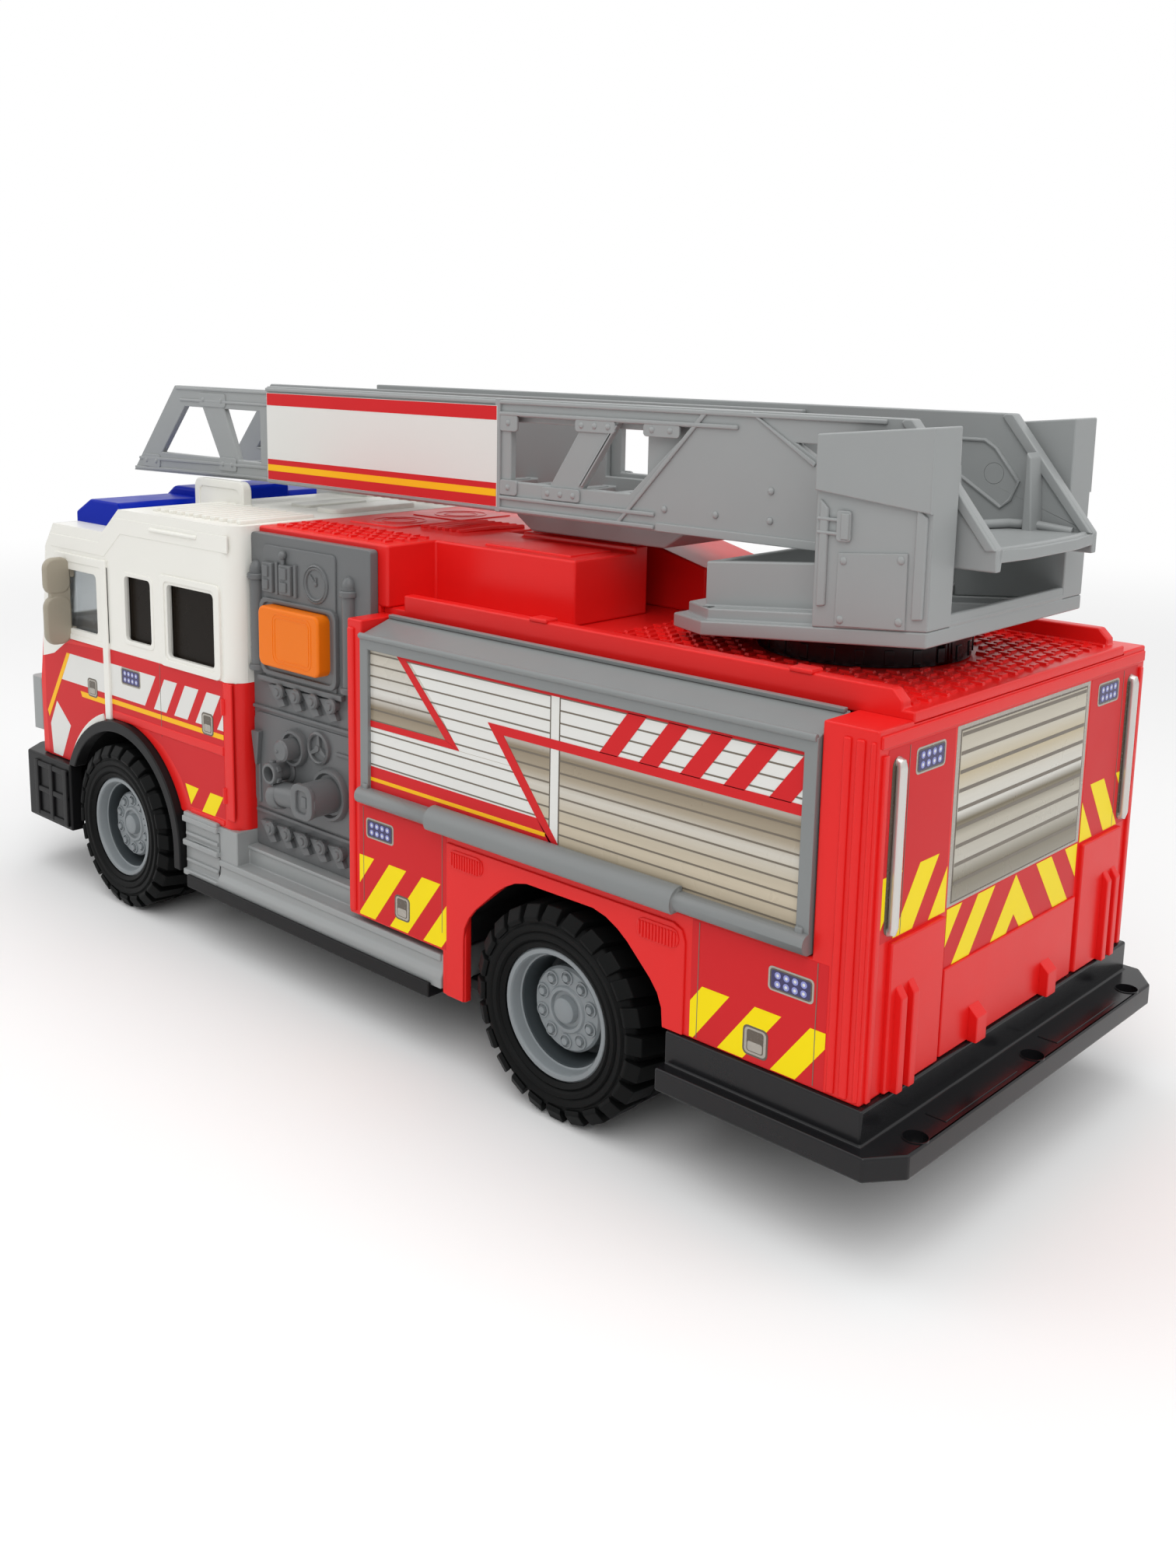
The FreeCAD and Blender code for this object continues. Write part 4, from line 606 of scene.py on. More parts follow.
    def lathe(self, profile: Sequence[Point], centre: Point, steps: int = 64,
              axis: str = "Y", base: float = 0.0) -> "Shape":
        """Turn a closed profile round an axis.

        Args:
            profile: Points as distance along the axis from its base and radius.
            centre: The axis on the other two axes, in X, Y, Z order.
            steps: Sides round it.
            axis: The axis.
            base: Where the profile's base lies on the axis.

        Returns:
            This piece.
        """
        ring = bmesh.new()
        points = [ring.verts.new((radius, 0, base + along)) for along, radius in profile]
        loop = [ring.edges.new((points[n], points[(n + 1) % len(points)]))
                for n in range(len(points))]
        bmesh.ops.spin(ring, geom=points + loop, cent=(0, 0, 0), axis=(0, 0, 1),
                       dvec=(0, 0, 0), angle=2 * math.pi, steps=steps, use_merge=True)
        bmesh.ops.remove_doubles(ring, verts=ring.verts, dist=SEAM)
        return self.add(ring, self.AXES[axis] @ Matrix.Translation((*centre, 0)))

    def tube(self, path: Sequence[Sequence[float]], radius: float, sides: int = 12) -> "Shape":
        """Add a round bar that follows a path, with closed ends.

        Args:
            path: Points of its centre line.
            radius: Its radius.
            sides: Sides round it.

        Returns:
            This piece.
        """
        bar = bmesh.new()
        points = [Vector(point) for point in path]
        rings = []
        for number, point in enumerate(points):
            before = points[max(number - 1, 0)]
            after = points[min(number + 1, len(points) - 1)]
            turn = (after - before).normalized().to_track_quat("Z", "Y").to_matrix().to_4x4()
            made = bmesh.ops.create_circle(bar, segments=sides, radius=radius, cap_ends=False,
                                           matrix=Matrix.Translation(point) @ turn)
            rings.append(made["verts"])
        for first, second in zip(rings, rings[1:]):
            loops = [edge for ring in (first, second) for edge in
                     {edge for vert in ring for edge in vert.link_edges
                      if edge.other_vert(vert) in ring}]
            bmesh.ops.bridge_loops(bar, edges=list(dict.fromkeys(loops)))
        bmesh.ops.holes_fill(bar, edges=bar.edges[:], sides=0)
        return self.add(bar)

    def film(self, face: Face, level: float, points: Sequence[Point], lift: float,
             clip: Optional[Sequence[Point]] = None) -> "Shape":
        """Lay a thin film on a flat face.

        Args:
            face: The face's kind.
            level: Where the face lies on its axis, with the sign of its outward side.
            points: The film's outline on the other two axes, in X, Y, Z order.
            lift: How far it stands off the face.
            clip: A convex outline that it is cut to.

        Returns:
            This piece.
        """
        outward = 1 if level > 0 else -1
        span = sorted((level - FILM_DEPTH * outward, level + lift * outward))
        return self.prism(face.value, points, (span[0], span[1]), clip=clip)

    def spun(self, count: int, centre: Point) -> "Shape":
        """Repeat the piece round an axis along Y.

        Args:
            count: How many copies in all.
            centre: Station and height of the axis.

        Returns:
            This piece.
        """
        everything = self.bm.verts[:] + self.bm.edges[:] + self.bm.faces[:]
        bmesh.ops.spin(self.bm, geom=everything, cent=(centre[0], 0, centre[1]), axis=(0, 1, 0),
                       dvec=(0, 0, 0), angle=2 * math.pi * (count - 1) / count, steps=count - 1,
                       use_duplicate=True)
        return self

    def turned(self, angle: float, centre: Sequence[float], axis: str = "Y") -> "Shape":
        """Turn the whole piece about an axis through a point, by degrees."""
        bmesh.ops.rotate(self.bm, verts=self.bm.verts, cent=Vector(centre),
                         matrix=Matrix.Rotation(math.radians(angle), 3, axis))
        return self

    def also(self, other: "Shape") -> "Shape":
        """Take in another piece."""
        return self.take(other.bm)

    def both_sides(self) -> "Shape":
        """Add the mirror image on the other side of the toy."""
        copy = self.bm.copy()
        self.mirror(copy)
        return self.take(copy)

    def onto(self, side: Side) -> "Shape":
        """Put a piece that was shaped on the left onto a side."""
        if side is Side.RIGHT:
            self.mirror(self.bm)
        return self

    @staticmethod
    def mirror(mesh: bmesh.types.BMesh) -> None:
        """Mirror a mesh about the toy's middle plane."""
        bmesh.ops.transform(mesh, matrix=Matrix.Diagonal((1, -1, 1, 1)), verts=mesh.verts)
        bmesh.ops.reverse_faces(mesh, faces=mesh.faces)

    def finish(self, name: str, finish: Finish, body: str, replaces: Iterable[str] = (),
               smooth: float = SMOOTH_ANGLE) -> bpy.types.Object:
        """Make the finished object.

        Args:
            name: The piece's name.
            finish: Its surface.
            body: The body that it rides on.
            replaces: CAD nodes that it stands for.
            smooth: Edges flatter than this, in degrees, are shaded smooth.

        Returns:
            The object.
        """
        bmesh.ops.transform(self.bm, matrix=TO_FRAME, verts=self.bm.verts)
        mesh = bpy.data.meshes.new(name)
        self.bm.to_mesh(mesh)
        self.bm.free()
        mesh.shade_smooth()
        mesh.set_sharp_from_angle(angle=math.radians(smooth))
        mesh.materials.append(finish.material())
        made = bpy.data.objects.new(name, mesh)
        bpy.context.scene.collection.objects.link(made)
        even = made.modifiers.new("even_normals", "WEIGHTED_NORMAL")
        even.keep_sharp = True
        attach(made, body)
        if replaces:
            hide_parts(*replaces)
        LOG.info("%s: %d faces on %s", name, len(mesh.polygons), body)
        return made

    def stand_for(self, node: str, finish: Finish,
                  name: Optional[str] = None) -> bpy.types.Object:
        """Make the finished object that takes a CAD node's place on its body.

        Args:
            node: The node.
            finish: Its surface.
            name: The piece's name, where it isn't the node's with "_skin".

        Returns:
            The object.
        """
        return self.finish(name or node + "_skin", finish, BODY_OF[node], replaces=(node,))


def soften(node: str, finish: Finish, width: float = 0.35, shortest: float = 1.0,
           steps: int = 2) -> bpy.types.Object:
    """Stand in for a CAD node with the same shape, its edges eased.

    Args:
        node: The node.
        finish: Its surface.
        width: Width of the rounding.
        shortest: Edges shorter than this stay sharp.
        steps: Sides of the rounding.

    Returns:
        The object.
    """
    shape = Shape.of_node(node)
    if width:
        Shape.ease(shape.bm, width, steps, NODE_EDGE_ANGLE, shortest)
    return shape.stand_for(node, finish)


# ---------------------------------------------------------------- wheels and underside

@dataclass
class Wheels:
    """The two wheels of one axle."""

    end: str
    station: float
    height: float = 27.9
    face: float = 64.8
    width: float = 26.0
    radius: float = 27.9
    tread_radius: float = 25.9
    rim_radius: float = 16.9
    lugs: int = 24
    nuts: int = 10
    nut_circle: float = 8.3

    def tyres(self) -> None:
        """Build the tyres with their shoulder lugs and sidewall rings."""
        outer, inner = self.face, self.face - self.width
        tread, bead = self.tread_radius, self.rim_radius
        sidewall = [(outer - 1.2, bead), (outer - 0.5, bead + 1.2), (outer - 0.9, bead + 1.7),
                    (outer - 0.2, bead + 2.3), (outer - 0.1, bead + 3.4),
                    (outer - 0.7, bead + 3.9), (outer - 0.3, bead + 4.5),
                    (outer - 0.2, bead + 5.6), (outer - 0.8, bead + 6.1),
                    (outer - 0.9, bead + 7.0), (outer - 2.2, tread - 0.6), (outer - 3.4, tread)]
        far = [(2 * inner + self.width - along, radius) for along, radius in reversed(sidewall)]
        shape = Shape().lathe(sidewall + far, (self.station, self.height))
        shape.also(self.lug(outer, 1).spun(self.lugs, (self.station, self.height)))
        shape.also(self.lug(inner, -1).spun(self.lugs, (self.station, self.height)))
        shape.both_sides().finish(self.end + "_tyres_treaded", RUBBER, self.end + "_wheels",
                                  replaces=(self.end + "_tyres",), smooth=32)

    def lug(self, edge: float, outward: int) -> Shape:
        """Shape one tread lug over the axle's top.

        Args:
            edge: Where the sidewall stands on Y.
            outward: The sidewall's direction.

        Returns:
            The lug.
        """
        top = self.radius - 0.3
        section = [(edge - outward * 12.6, self.tread_radius - 0.4),
                   (edge - outward * 0.4, self.tread_radius - 2.6),
                   (edge - outward * 0.05, self.tread_radius - 1.4),
                   (edge - outward * 1.9, top), (edge - outward * 12.2, top)]
        points = [(along, self.height + radius) for along, radius in section]
        half = math.pi * self.radius / self.lugs * 0.66
        shape = Shape().prism("X", points, (self.station - half, self.station + half), 0.35)
        lean = 0.2 * outward
        for vert in shape.bm.verts:
            vert.co.x += (vert.co.y - edge + outward * 6) * lean
        turn = 0 if outward > 0 else 180 / self.lugs
        return shape.turned(turn, (self.station, 0, self.height))

    def rims(self) -> None:
        """Build the rims with their dish, nut circle and cap, and a dark ring of painted shade in
        the dish.
        """
        lip = self.face - 1.4
        dish, hub = lip - 12.0, lip - 4.5
        radius, inner = self.rim_radius, self.face - self.width
        profile = [(inner, radius), (lip - 0.5, radius), (lip, radius - 0.5),
                   (lip, radius - 1.5), (lip - 0.6, radius - 2.0), (lip - 3.0, radius - 2.3),
                   (lip - 3.3, radius - 2.9), (dish + 0.5, radius - 3.6), (dish, radius - 4.2),
                   (dish, 10.7), (hub - 0.6, 10.9), (hub, 10.3), (hub, 6.1), (hub + 0.5, 5.7),
                   (hub + 0.5, 4.9), (hub - 0.3, 4.5), (hub - 0.3, 3.6), (hub + 1.2, 3.2),
                   (hub + 1.6, 2.6), (hub + 1.6, 0.0), (dish - 2.4, 0.0),
                   (dish - 2.4, radius - 2.0), (inner, radius - 2.0)]
        shape = Shape().lathe(profile, (self.station, self.height))
        spot = (self.station, self.height + self.nut_circle)
        pit = Shape().lathe([(-0.5, 1.55), (0.35, 1.55), (0.35, 1.9), (-0.5, 2.1)], spot, steps=20,
                            base=hub)
        pit.rod("Y", spot, (hub - 0.5, hub + 0.9), 1.15, 0.2, sides=12, tip=0.95)
        shape.also(pit.spun(self.nuts, (self.station, self.height)))
        shape.both_sides().finish(self.end + "_rims_turned", RIM, self.end + "_wheels",
                                  replaces=(self.end + "_rims",))
        # A darker ring laid in the dish as painted shade of its depth.
        well = Shape().lathe([(lip - 3.2, radius - 2.95), (lip - 3.7, radius - 3.2),
                              (dish + 0.6, radius - 3.8), (dish + 0.15, radius - 4.4),
                              (dish + 0.15, 10.75), (dish - 0.4, 10.75),
                              (dish - 0.4, radius - 3.4), (lip - 3.2, radius - 2.6)],
                             (self.station, self.height))
        well.both_sides().finish(self.end + "_rim_wells", RIM_SHADE, self.end + "_wheels")

    def build(self) -> None:
        """Build everything on this axle."""
        self.tyres()
        self.rims()


@dataclass
class Underside:
    """Black tub with its battery hatch, wheel wells and fender trims."""

    hatch: tuple[Span, Span] = ((40.0, 100.0), (-30.0, 30.0))
    hatch_top: float = 16.8
    ridge_pitch: float = 6.0

    def build(self) -> None:
        """Build the tub, the wells, the trims and the hatch with its ridges and screws."""
        soften("chassis_base", BLACK, 0.4)
        for node in ("rear_wheel_wells", "front_wheel_wells"):
            soften(node, BLACK, 0.0)
        soften("fender_trims", BLACK, 0.5, 0.8)
        (back, front), (right, left) = self.hatch
        cover = Shape.eased("battery_cover", 0.3)
        count = int((front - back - 12) / self.ridge_pitch)
        for number in range(count + 1):
            spot = back + 6 + number * self.ridge_pitch
            cover.box((spot - 0.7, spot + 0.7), (right + 8, left - 8),
                      (self.hatch_top - 0.5, self.hatch_top), 0.2)
        for spot, side in ((back + 3, right + 3), (back + 3, left - 3),
                           (front - 3, right + 3), (front - 3, left - 3)):
            cover.rod("Z", (spot, side), (self.hatch_top - 0.4, self.hatch_top + 0.1), 1.8, 0.2)
        cover.stand_for("battery_cover", BLACK, "battery_hatch")


@dataclass
class RearStep:
    """Black step behind the body with its sunken field and three rimmed holes."""

    back: float = -95.7
    top: float = 28.4
    holes: tuple[float, ...] = (-52.1, 0.0, 52.1)
    hole_radius: float = 2.7

    def build(self) -> None:
        """Build the step, the rims of its holes and its two raised fields."""
        step = Shape.eased("rear_step", 0.6, 3, shortest=1.2)
        spot = self.back + 3.0
        for side in self.holes:
            step.lathe([(-0.6, self.hole_radius), (0.2, self.hole_radius),
                        (0.2, self.hole_radius + 0.2), (-0.6, self.hole_radius + 0.22)],
                       (spot, side), 32, "Z", base=self.top)
        for side in (-26.0, 26.0):
            step.box((self.back + 1.6, self.back + 6.6), (side - 16, side + 16),
                     raised(self.top, 0.2, 0.4), 0.15)
        step.stand_for("rear_step", GLOSS_BLACK)


@dataclass
class Bumper:
    """Black bumper with a deep pocket and crossbar at each corner."""

    face: float = 64.3
    nose: float = 268.4
    low: float = 18.6
    high: float = 42.6

    def build(self) -> None:
        """Build the bumper with ribs round its pockets."""
        shape = Shape.eased("front_bumper", 0.7, 3)
        side = Shape()
        for back, front in ((233.4, 236.2), (243.4, 246.0), (253.4, 256.0)):
            side.box((back, front), raised(self.face, 0.9, 0.5), (self.low + 1.5, self.high - 2.2),
                     0.35)
        for low in (self.low + 1.2, self.low + 10.4, self.high - 4.4):
            side.box((233.4, 256.0), raised(self.face, 0.75, 0.5), (low, low + 2.0), 0.35)
        shape.also(side.both_sides())
        for across in (-36.0, -18.0, 0.0, 18.0, 36.0):
            shape.box((self.nose - 1, self.nose - 0.02), (across - 6.5, across + 6.5),
                      (self.low + 5, self.high - 7), 0.4)
        shape.stand_for("front_bumper", BLACK)


@dataclass
class RunningBoards:
    """Grey steps under the pump panels with the ribbed block by the front wheel."""

    back: float = 41.0
    front: float = 144.5
    edge: float = 62.0

    def build(self) -> None:
        """Build the boards with their lips, grooves and block ribs."""
        shape = Shape.eased("running_boards", 0.45, shortest=1.0)
        side = Shape()
        side.box((self.back + 1.4, self.front), (self.edge - 1.0, self.edge + 0.5), (28.2, 30.3),
                 0.4)
        side.box((80.4, self.front - 1), (52.4, 58.0), (35.2, 36.3), 0.3)
        for low in (22.0, 24.4):
            side.box((self.back + 3, self.front), (self.edge - 0.4, self.edge + 0.45),
                     (low, low + 0.8), 0.25)
        side.box((self.front + 0.4, 163.2), (58.0, 62.9), (40.0, 41.9), 0.4)
        for low in (25.4, 34.2):
            side.box((self.front + 0.6, 162.6), (60.0, 62.6), (low, low + 1.2), 0.3)
        shape.also(side.both_sides())
        shape.stand_for("running_boards", GREY)


# ---------------------------------------------------------------- printed details

@dataclass
class Prints:
    """Printed films collected by colour, so that each colour is one piece."""

    name: str
    body: str
    face: Face
    level: float
    layers: dict[Finish, Shape] = field(default_factory=dict)

    def lay(self, finish: Finish, points: Sequence[Point], order: int = 0,
            clip: Optional[Sequence[Point]] = None) -> None:
        """Lay one patch of colour.

        Args:
            finish: The colour.
            points: The patch's outline.
            order: Its place in the stack, from 0 at the bottom.
            clip: A convex outline that it is cut to.
        """
        shape = self.layers.setdefault(finish, Shape())
        shape.film(self.face, self.level, points, FILM_LIFT + FILM_STEP * order, clip)

    def slashes(self, finish: Finish, tops: Sequence[Span], up: Span, lean: float,
                order: int = 0, clip: Optional[Sequence[Point]] = None) -> None:
        """Lay slanting bars.

        Args:
            finish: Their colour.
            tops: The span of each along the upper edge.
            up: Heights of the lower and the upper edge.
            lean: How far the lower end stands from the upper one.
            order: Their place in the stack.
            clip: A convex outline that they are cut to.
        """
        for near, far in tops:
            self.lay(finish, [(near, up[1]), (far, up[1]), (far + lean, up[0]),
                              (near + lean, up[0])], order, clip)

    def lamp(self, across: Span, up: Span, order: int = 2) -> None:
        """Lay a printed lamp of two rows of four bright dots in a silver frame.

        Args:
            across: Its span along the face.
            up: Its heights.
            order: Its place in the stack.
        """
        self.lay(PRINT_SILVER, rounded(across, up, 1.0), order)
        self.lay(PRINT_TAUPE, rounded(inset(across, 0.45), inset(up, 0.4), 0.8), order + 1)
        inner = inset(across, 0.8)
        self.lay(PRINT_VIOLET, rounded(inner, inset(up, 0.75), 0.5), order + 2)
        for column in range(4):
            for row in range(2):
                a = inner[0] + (inner[1] - inner[0]) * (column + 0.75) / 4.5
                b = up[0] + (up[1] - up[0]) * (0.32 + 0.36 * row)
                self.lay(PRINT_LILAC, circle(a, b, 0.78, 12), order + 3)
                self.lay(PRINT_WHITE, circle(a, b, 0.36, 8), order + 4)

    def latch(self, across: Span, up: Span, order: int = 2) -> None:
        """Lay a printed flush latch with its dark finger hole.

        Args:
            across: Its span along the face.
            up: Its heights.
            order: Its place in the stack.
        """
        self.lay(PRINT_TAUPE, rounded(across, up, 1.3), order)
        self.lay(PRINT_SILVER, rounded(inset(across, 0.45), inset(up, 0.45), 1.0), order + 1)
        middle = (up[0] + up[1]) / 2
        self.lay(PRINT_TAUPE, rounded(inset(across, 1.1), (up[0] + 1.0, up[1] - 0.9), 0.6),
                 order + 2)
        self.lay(PRINT_SILVER, rounded(inset(across, 1.35), (up[0] + 1.2, middle - 0.1), 0.5),
                 order + 3)

    def finish(self, side: Optional[Side] = None) -> None:
        """Make one piece of each colour.

        Args:
            side: The side that the films lie on, or both where it is left out.
        """
        for finish, shape in self.layers.items():
            if side:
                shape.onto(side)
            elif self.face is Face.SIDE:
                shape.both_sides()
            shape.finish("%s_%s" % (self.name, finish.name), finish, self.body)


# ---------------------------------------------------------------- load body

@dataclass
class LoadBody:
    """Red body with its corner posts, wheel-arch surrounds, grab rails and stickers."""

    face: float = 63.0
    back: float = -85.5
    rail_span: Span = (72.4, 108.4)
    slat_pitch: float = 4.15
    yellow_lean: float = 13.0

    def shell(self) -> None:
        """Build the shell with its grooved posts and raised surrounds."""
        shape = Shape.eased("body_shell", 0.5, shortest=1.2)
        side = Shape()
        surround = [(-39.6, 36.4), (-39.6, 58.6), (-38.6, 61.2), (-36.2, 62.4), (39.0, 62.4),
                    (39.0, 20.4), (32.5, 20.4), (32.5, 37.6), (32.1, 40.8), (30.6, 43.9),
                    (28.2, 46.9), (20.6, 53.8), (17.6, 56.0), (14.0, 57.9), (10.0, 58.9),
                    (-12.0, 58.9), (-16.0, 57.9), (-19.7, 56.0), (-22.7, 53.8), (-29.8, 47.0),
                    (-32.0, 44.2), (-33.3, 41.0), (-33.7, 36.4)]
        side.prism("Y", surround, raised(self.face, 0.55, 0.5), 0.25)
        for back, front in ((25.2, 37.6), (-38.0, -25.6)):
            side.prism("Y", rounded((back, front), (56.3, 61.2), 2.2),
                       (self.face, self.face + 0.9), 0.3)
            for number in range(12):
                spot = back + 1.0 + number * (front - back - 2.0) / 11
                side.box((spot - 0.28, spot + 0.28), (self.face + 0.6, self.face + 1.2),
                         (57.0 - 0.5 * (number % 11 > 0), 60.5), 0.15)
        for back, front in ((-85.0, -83.9), (-82.6, -80.6), (-79.4, -77.6), (76.3, 78.8)):
            side.box((back, front), raised(self.face, 0.65, 0.4),
                     (37.0 if back < 0 else 33.0, 113.5), 0.45)
        shape.also(side.both_sides())
        self.rear_relief(shape)
        shape.stand_for("body_shell", RED)

    def rear_relief(self, shape: Shape) -> None:
        """Add the raised panels and ribs of the rear face.

        Args:
            shape: The shell that takes them.
        """
        side = Shape()
        side.box((self.back - 1.1, self.back + 0.4), (33.4, 55.2), (36.6, 69.9), 0.4)
        for low in (45.7, 50.5):
            side.prism("Y", [(self.back - 0.8, 36.4), (self.back - 2.7, 36.4),
                             (self.back - 2.7, 57.6), (self.back - 0.8, 60.4)],
                       (low, low + 2.4), 0.3)
        side.box((self.back - 0.7, self.back + 0.4), (59.6, 61.4), (36.6, 110.5), 0.3)
        side.prism("Y", [(self.back - 0.4, 36.4), (self.back - 2.9, 36.4),
                         (self.back - 2.9, 42.6), (self.back - 0.4, 45.0)], (15.0, 19.6), 0.3)
        shape.also(side.both_sides())
        shape.box((self.back - 0.6, self.back + 0.4), (-31.8, 31.8), (36.6, 57.0), 0.3)
        shape.box((self.back - 0.5, self.back + 0.4), (-62.2, 62.2), (111.9, 114.6), 0.3)

    def handles(self) -> None:
        """Build the silver grab rails of the rear face."""
        foot, spot, across = self.back + 0.3, self.back - 1.0, 55.4
        low, high = self.rail_span
        rail = Shape().tube([(foot, across, low), (spot + 0.2, across, low + 0.25),
                             (spot, across, low + 1.2), (spot, across, high - 1.2),
                             (spot + 0.2, across, high - 0.25), (foot, across, high)], 1.15)
        rail.both_sides().stand_for("rear_handles", CHROME, "rear_grab_rails")

    def side_prints(self) -> None:
        """Print the lower side stickers."""
        prints = Prints("body_side_print", "chassis", Face.SIDE, self.face)
        front = rectangle((39.3, 74.8), (32.6, 64.5))
        rear = rectangle((-76.8, -41.3), (36.6, 64.5))
        prints.lay(PRINT_RED, front)
        prints.lay(PRINT_RED, rear)
        prints.slashes(PRINT_YELLOW, ((68.6, 81.6), (55.3, 62.3), (41.7, 49.0), (28.3, 35.4)),
                       (32.8, 50.2), self.yellow_lean, 1, front)
        prints.slashes(PRINT_YELLOW, ((-52.0, -44.5), (-65.7, -58.8), (-79.4, -73.0)),
                       (36.8, 49.6), self.yellow_lean * 0.74, 1, rear)
        prints.lamp((60.4, 71.8), (55.8, 61.5))
        prints.lamp((-73.5, -62.0), (54.8, 60.3))
        prints.latch((53.8, 60.0), (35.8, 42.7))
        prints.latch((-62.6, -56.0), (38.1, 45.0))
        for spot in (73.0, 41.0, -43.3, -74.2):
            prints.lay(PRINT_LINE, rectangle((spot - 0.09, spot + 0.09), (37.0, 64.3)), 2)
        prints.finish()

    def rear_prints(self) -> None:
        """Print the rear shutter, the corner stickers and the chevrons."""
        prints = Prints("body_rear_print", "chassis", Face.REAR, self.back)
        prints.lay(PRINT_SILVER, rectangle((-31.9, 31.9), (71.0, 111.3)))
        prints.lay(PRINT_TAUPE, rectangle((-30.4, 30.4), (71.6, 110.4)), 1)
        prints.lay(REAR_SHUTTER, rectangle((-30.0, 30.0), (72.0, 110.0)), 2)
        for number in range(9):
            height = 76.0 + self.slat_pitch * number
            prints.lay(PRINT_LINE, rectangle((-29.8, 29.8), (height - 0.42, height + 0.42)), 3)
        for side in Side:
            edge = rectangle(placed((32.6, 59.2), side), (70.4, 111.3))
            prints.lay(PRINT_RED, edge)
            bars = [placed(bar, side) for bar in ((51.2, 59.2), (36.5, 44.2), (23.0, 30.0))]
            prints.slashes(PRINT_YELLOW, bars, (70.5, 84.5), 9.6 * side.value, 1, edge)
            prints.lamp(placed((36.6, 48.4), side), (104.0, 109.7))
            prints.lay(PRINT_LINE, rectangle(placed((50.9, 51.1), side), (70.6, 111.0)), 2)
            prints.lay(PRINT_TAUPE, rounded(placed((53.3, 57.5), side), (71.6, 109.4), 2.0), 2)
        edge = rectangle((-31.6, 31.6), (57.1, 70.8))
        prints.lay(PRINT_RED, edge)
        for side in Side:
            bars = [placed(bar, side) for bar in ((25.0, 31.6), (10.0, 17.8))]
            prints.slashes(PRINT_YELLOW, bars, (57.1, 70.6), 10.4 * side.value, 1, edge)
        prints.lay(PRINT_YELLOW, [(0.0, 70.6), (10.6, 57.1), (3.2, 57.1), (0.0, 61.0),
                                  (-3.2, 57.1), (-10.6, 57.1)], 1)
        prints.finish()

    def build(self) -> None:
        """Build the body's pieces."""
        self.shell()
        self.handles()
        self.side_prints()
        self.rear_prints()
        soften("locker_linings", INSIDE, 0.2)


@dataclass
class TreadPlate:
    """Rows of small raised bars that lie along and across in turn."""

    name: str
    level: float
    pitch: float = 3.7
    length: float = 3.3
    width: float = 1.35
    height: float = 0.6
    crest: float = 0.8

    def build(self, areas: Sequence[tuple[Span, Span]],
              holes: Sequence[tuple[float, float, float]] = ()) -> None:
        """Build the bars over flat areas.

        Args:
            areas: Stations and sides of each area.
            holes: Station, side and radius of the round places left bare.
        """
        shape = Shape()
        for (back, front), (right, left) in areas:
            columns = int((front - back) / self.pitch)
            rows = int((left - right) / self.pitch)
            for column in range(columns):
                for row in range(rows):
                    x = back + (column + 0.5) * (front - back) / columns
                    y = right + (row + 0.5) * (left - right) / rows
                    if any(math.hypot(x - a, y - b) < r for a, b, r in holes):
                        continue
                    self.bar(shape, x, y, 90 if (column + row) % 2 else 0)
        shape.finish(self.name, RED, "chassis")

    def bar(self, shape: Shape, x: float, y: float, angle: float) -> None:
        """Add one bar with a narrow crest.

        Args:
            shape: The piece that takes it.
            x: Its station.
            y: Its side.
            angle: How it is turned, in degrees.
        """
        turn = Matrix.Translation((x, y, self.level)) @ Matrix.Rotation(
            math.radians(angle), 4, "Z")
        made = bmesh.ops.create_cube(shape.bm, size=1.0, matrix=turn @ Matrix.Diagonal(
            (self.length, self.width, self.height * 2, 1)))
        crest = [vert for vert in made["verts"] if vert.co.z > self.level]
        bmesh.ops.scale(shape.bm, verts=crest, vec=(self.crest, self.crest, 1),
                        space=Matrix.Translation((-x, -y, 0)))


@dataclass
class Deck:
    """Red deck plate with its curbs and tread."""

    top: float = 117.5

    def build(self) -> None:
        """Build the plate, the tread and the clips on the curbs."""
        deck = Shape.eased("deck", 0.5, shortest=1.0)
        side = Shape()
        for spot in (-58.0, 20.0):
            side.box((spot - 3.0, spot + 3.0), (46.0, 50.4), (121.0, 122.2), 0.4)
        deck.also(side.both_sides())
        deck.stand_for("deck", RED)
        TreadPlate("deck_tread", self.top).build(
            [((-83.5, 10.5), (-45.5, 45.5)), ((11.0, 70.0), (35.0, 45.8)),
             ((11.0, 70.0), (-45.8, -35.0))], [(-42.0, 0.0, 27.0)])


@dataclass
class HoseBed:
    """Red housing between the pump panels with hatches, ridges and tread on its roof."""

    top: float = 134.7
    hatches: tuple[Point, ...] = ((115.6, 13.1), (116.1, -13.1))

    def build(self) -> None:
        """Build the housing and the relief on its roof."""
        bed = Shape.eased("hose_bed", 0.7, 3, shortest=1.4)
        for station, side in self.hatches:
            for radius in (8.6, 5.6):
                bed.lathe([(-0.5, radius - 0.9), (0.5, radius - 0.7), (0.5, radius - 0.2),
                           (-0.5, radius)], (station, side), 40, "Z", base=self.top)
            bed.prism("Z", rounded((station - 12, station + 11), (side - 11.6, side + 11.6), 2),
                      raised(self.top, 0.35), 0.2)
        for number in range(6):
            bed.tube([(80.0 + number * 3.1, -5.0, self.top + 0.1),
                      (82.0 + number * 3.1, 6.0, self.top + 0.5),
                      (84.0 + number * 3.1, 18.0, self.top + 0.1)], 0.9, 8)
        bed.box((28.0, 60.0), (14.0, 30.0), raised(self.top, 0.45, 0.4), 0.3)
        bed.box((26.0, 62.0), (6.2, 9.2), (136.1, 136.6), 0.3)
        bed.stand_for("hose_bed", RED)
        TreadPlate("hose_bed_tread", self.top).build(
            [((79.5, 132.0), (31.0, 49.0)), ((79.5, 132.0), (-49.0, -31.0))])


# ---------------------------------------------------------------- locker doors

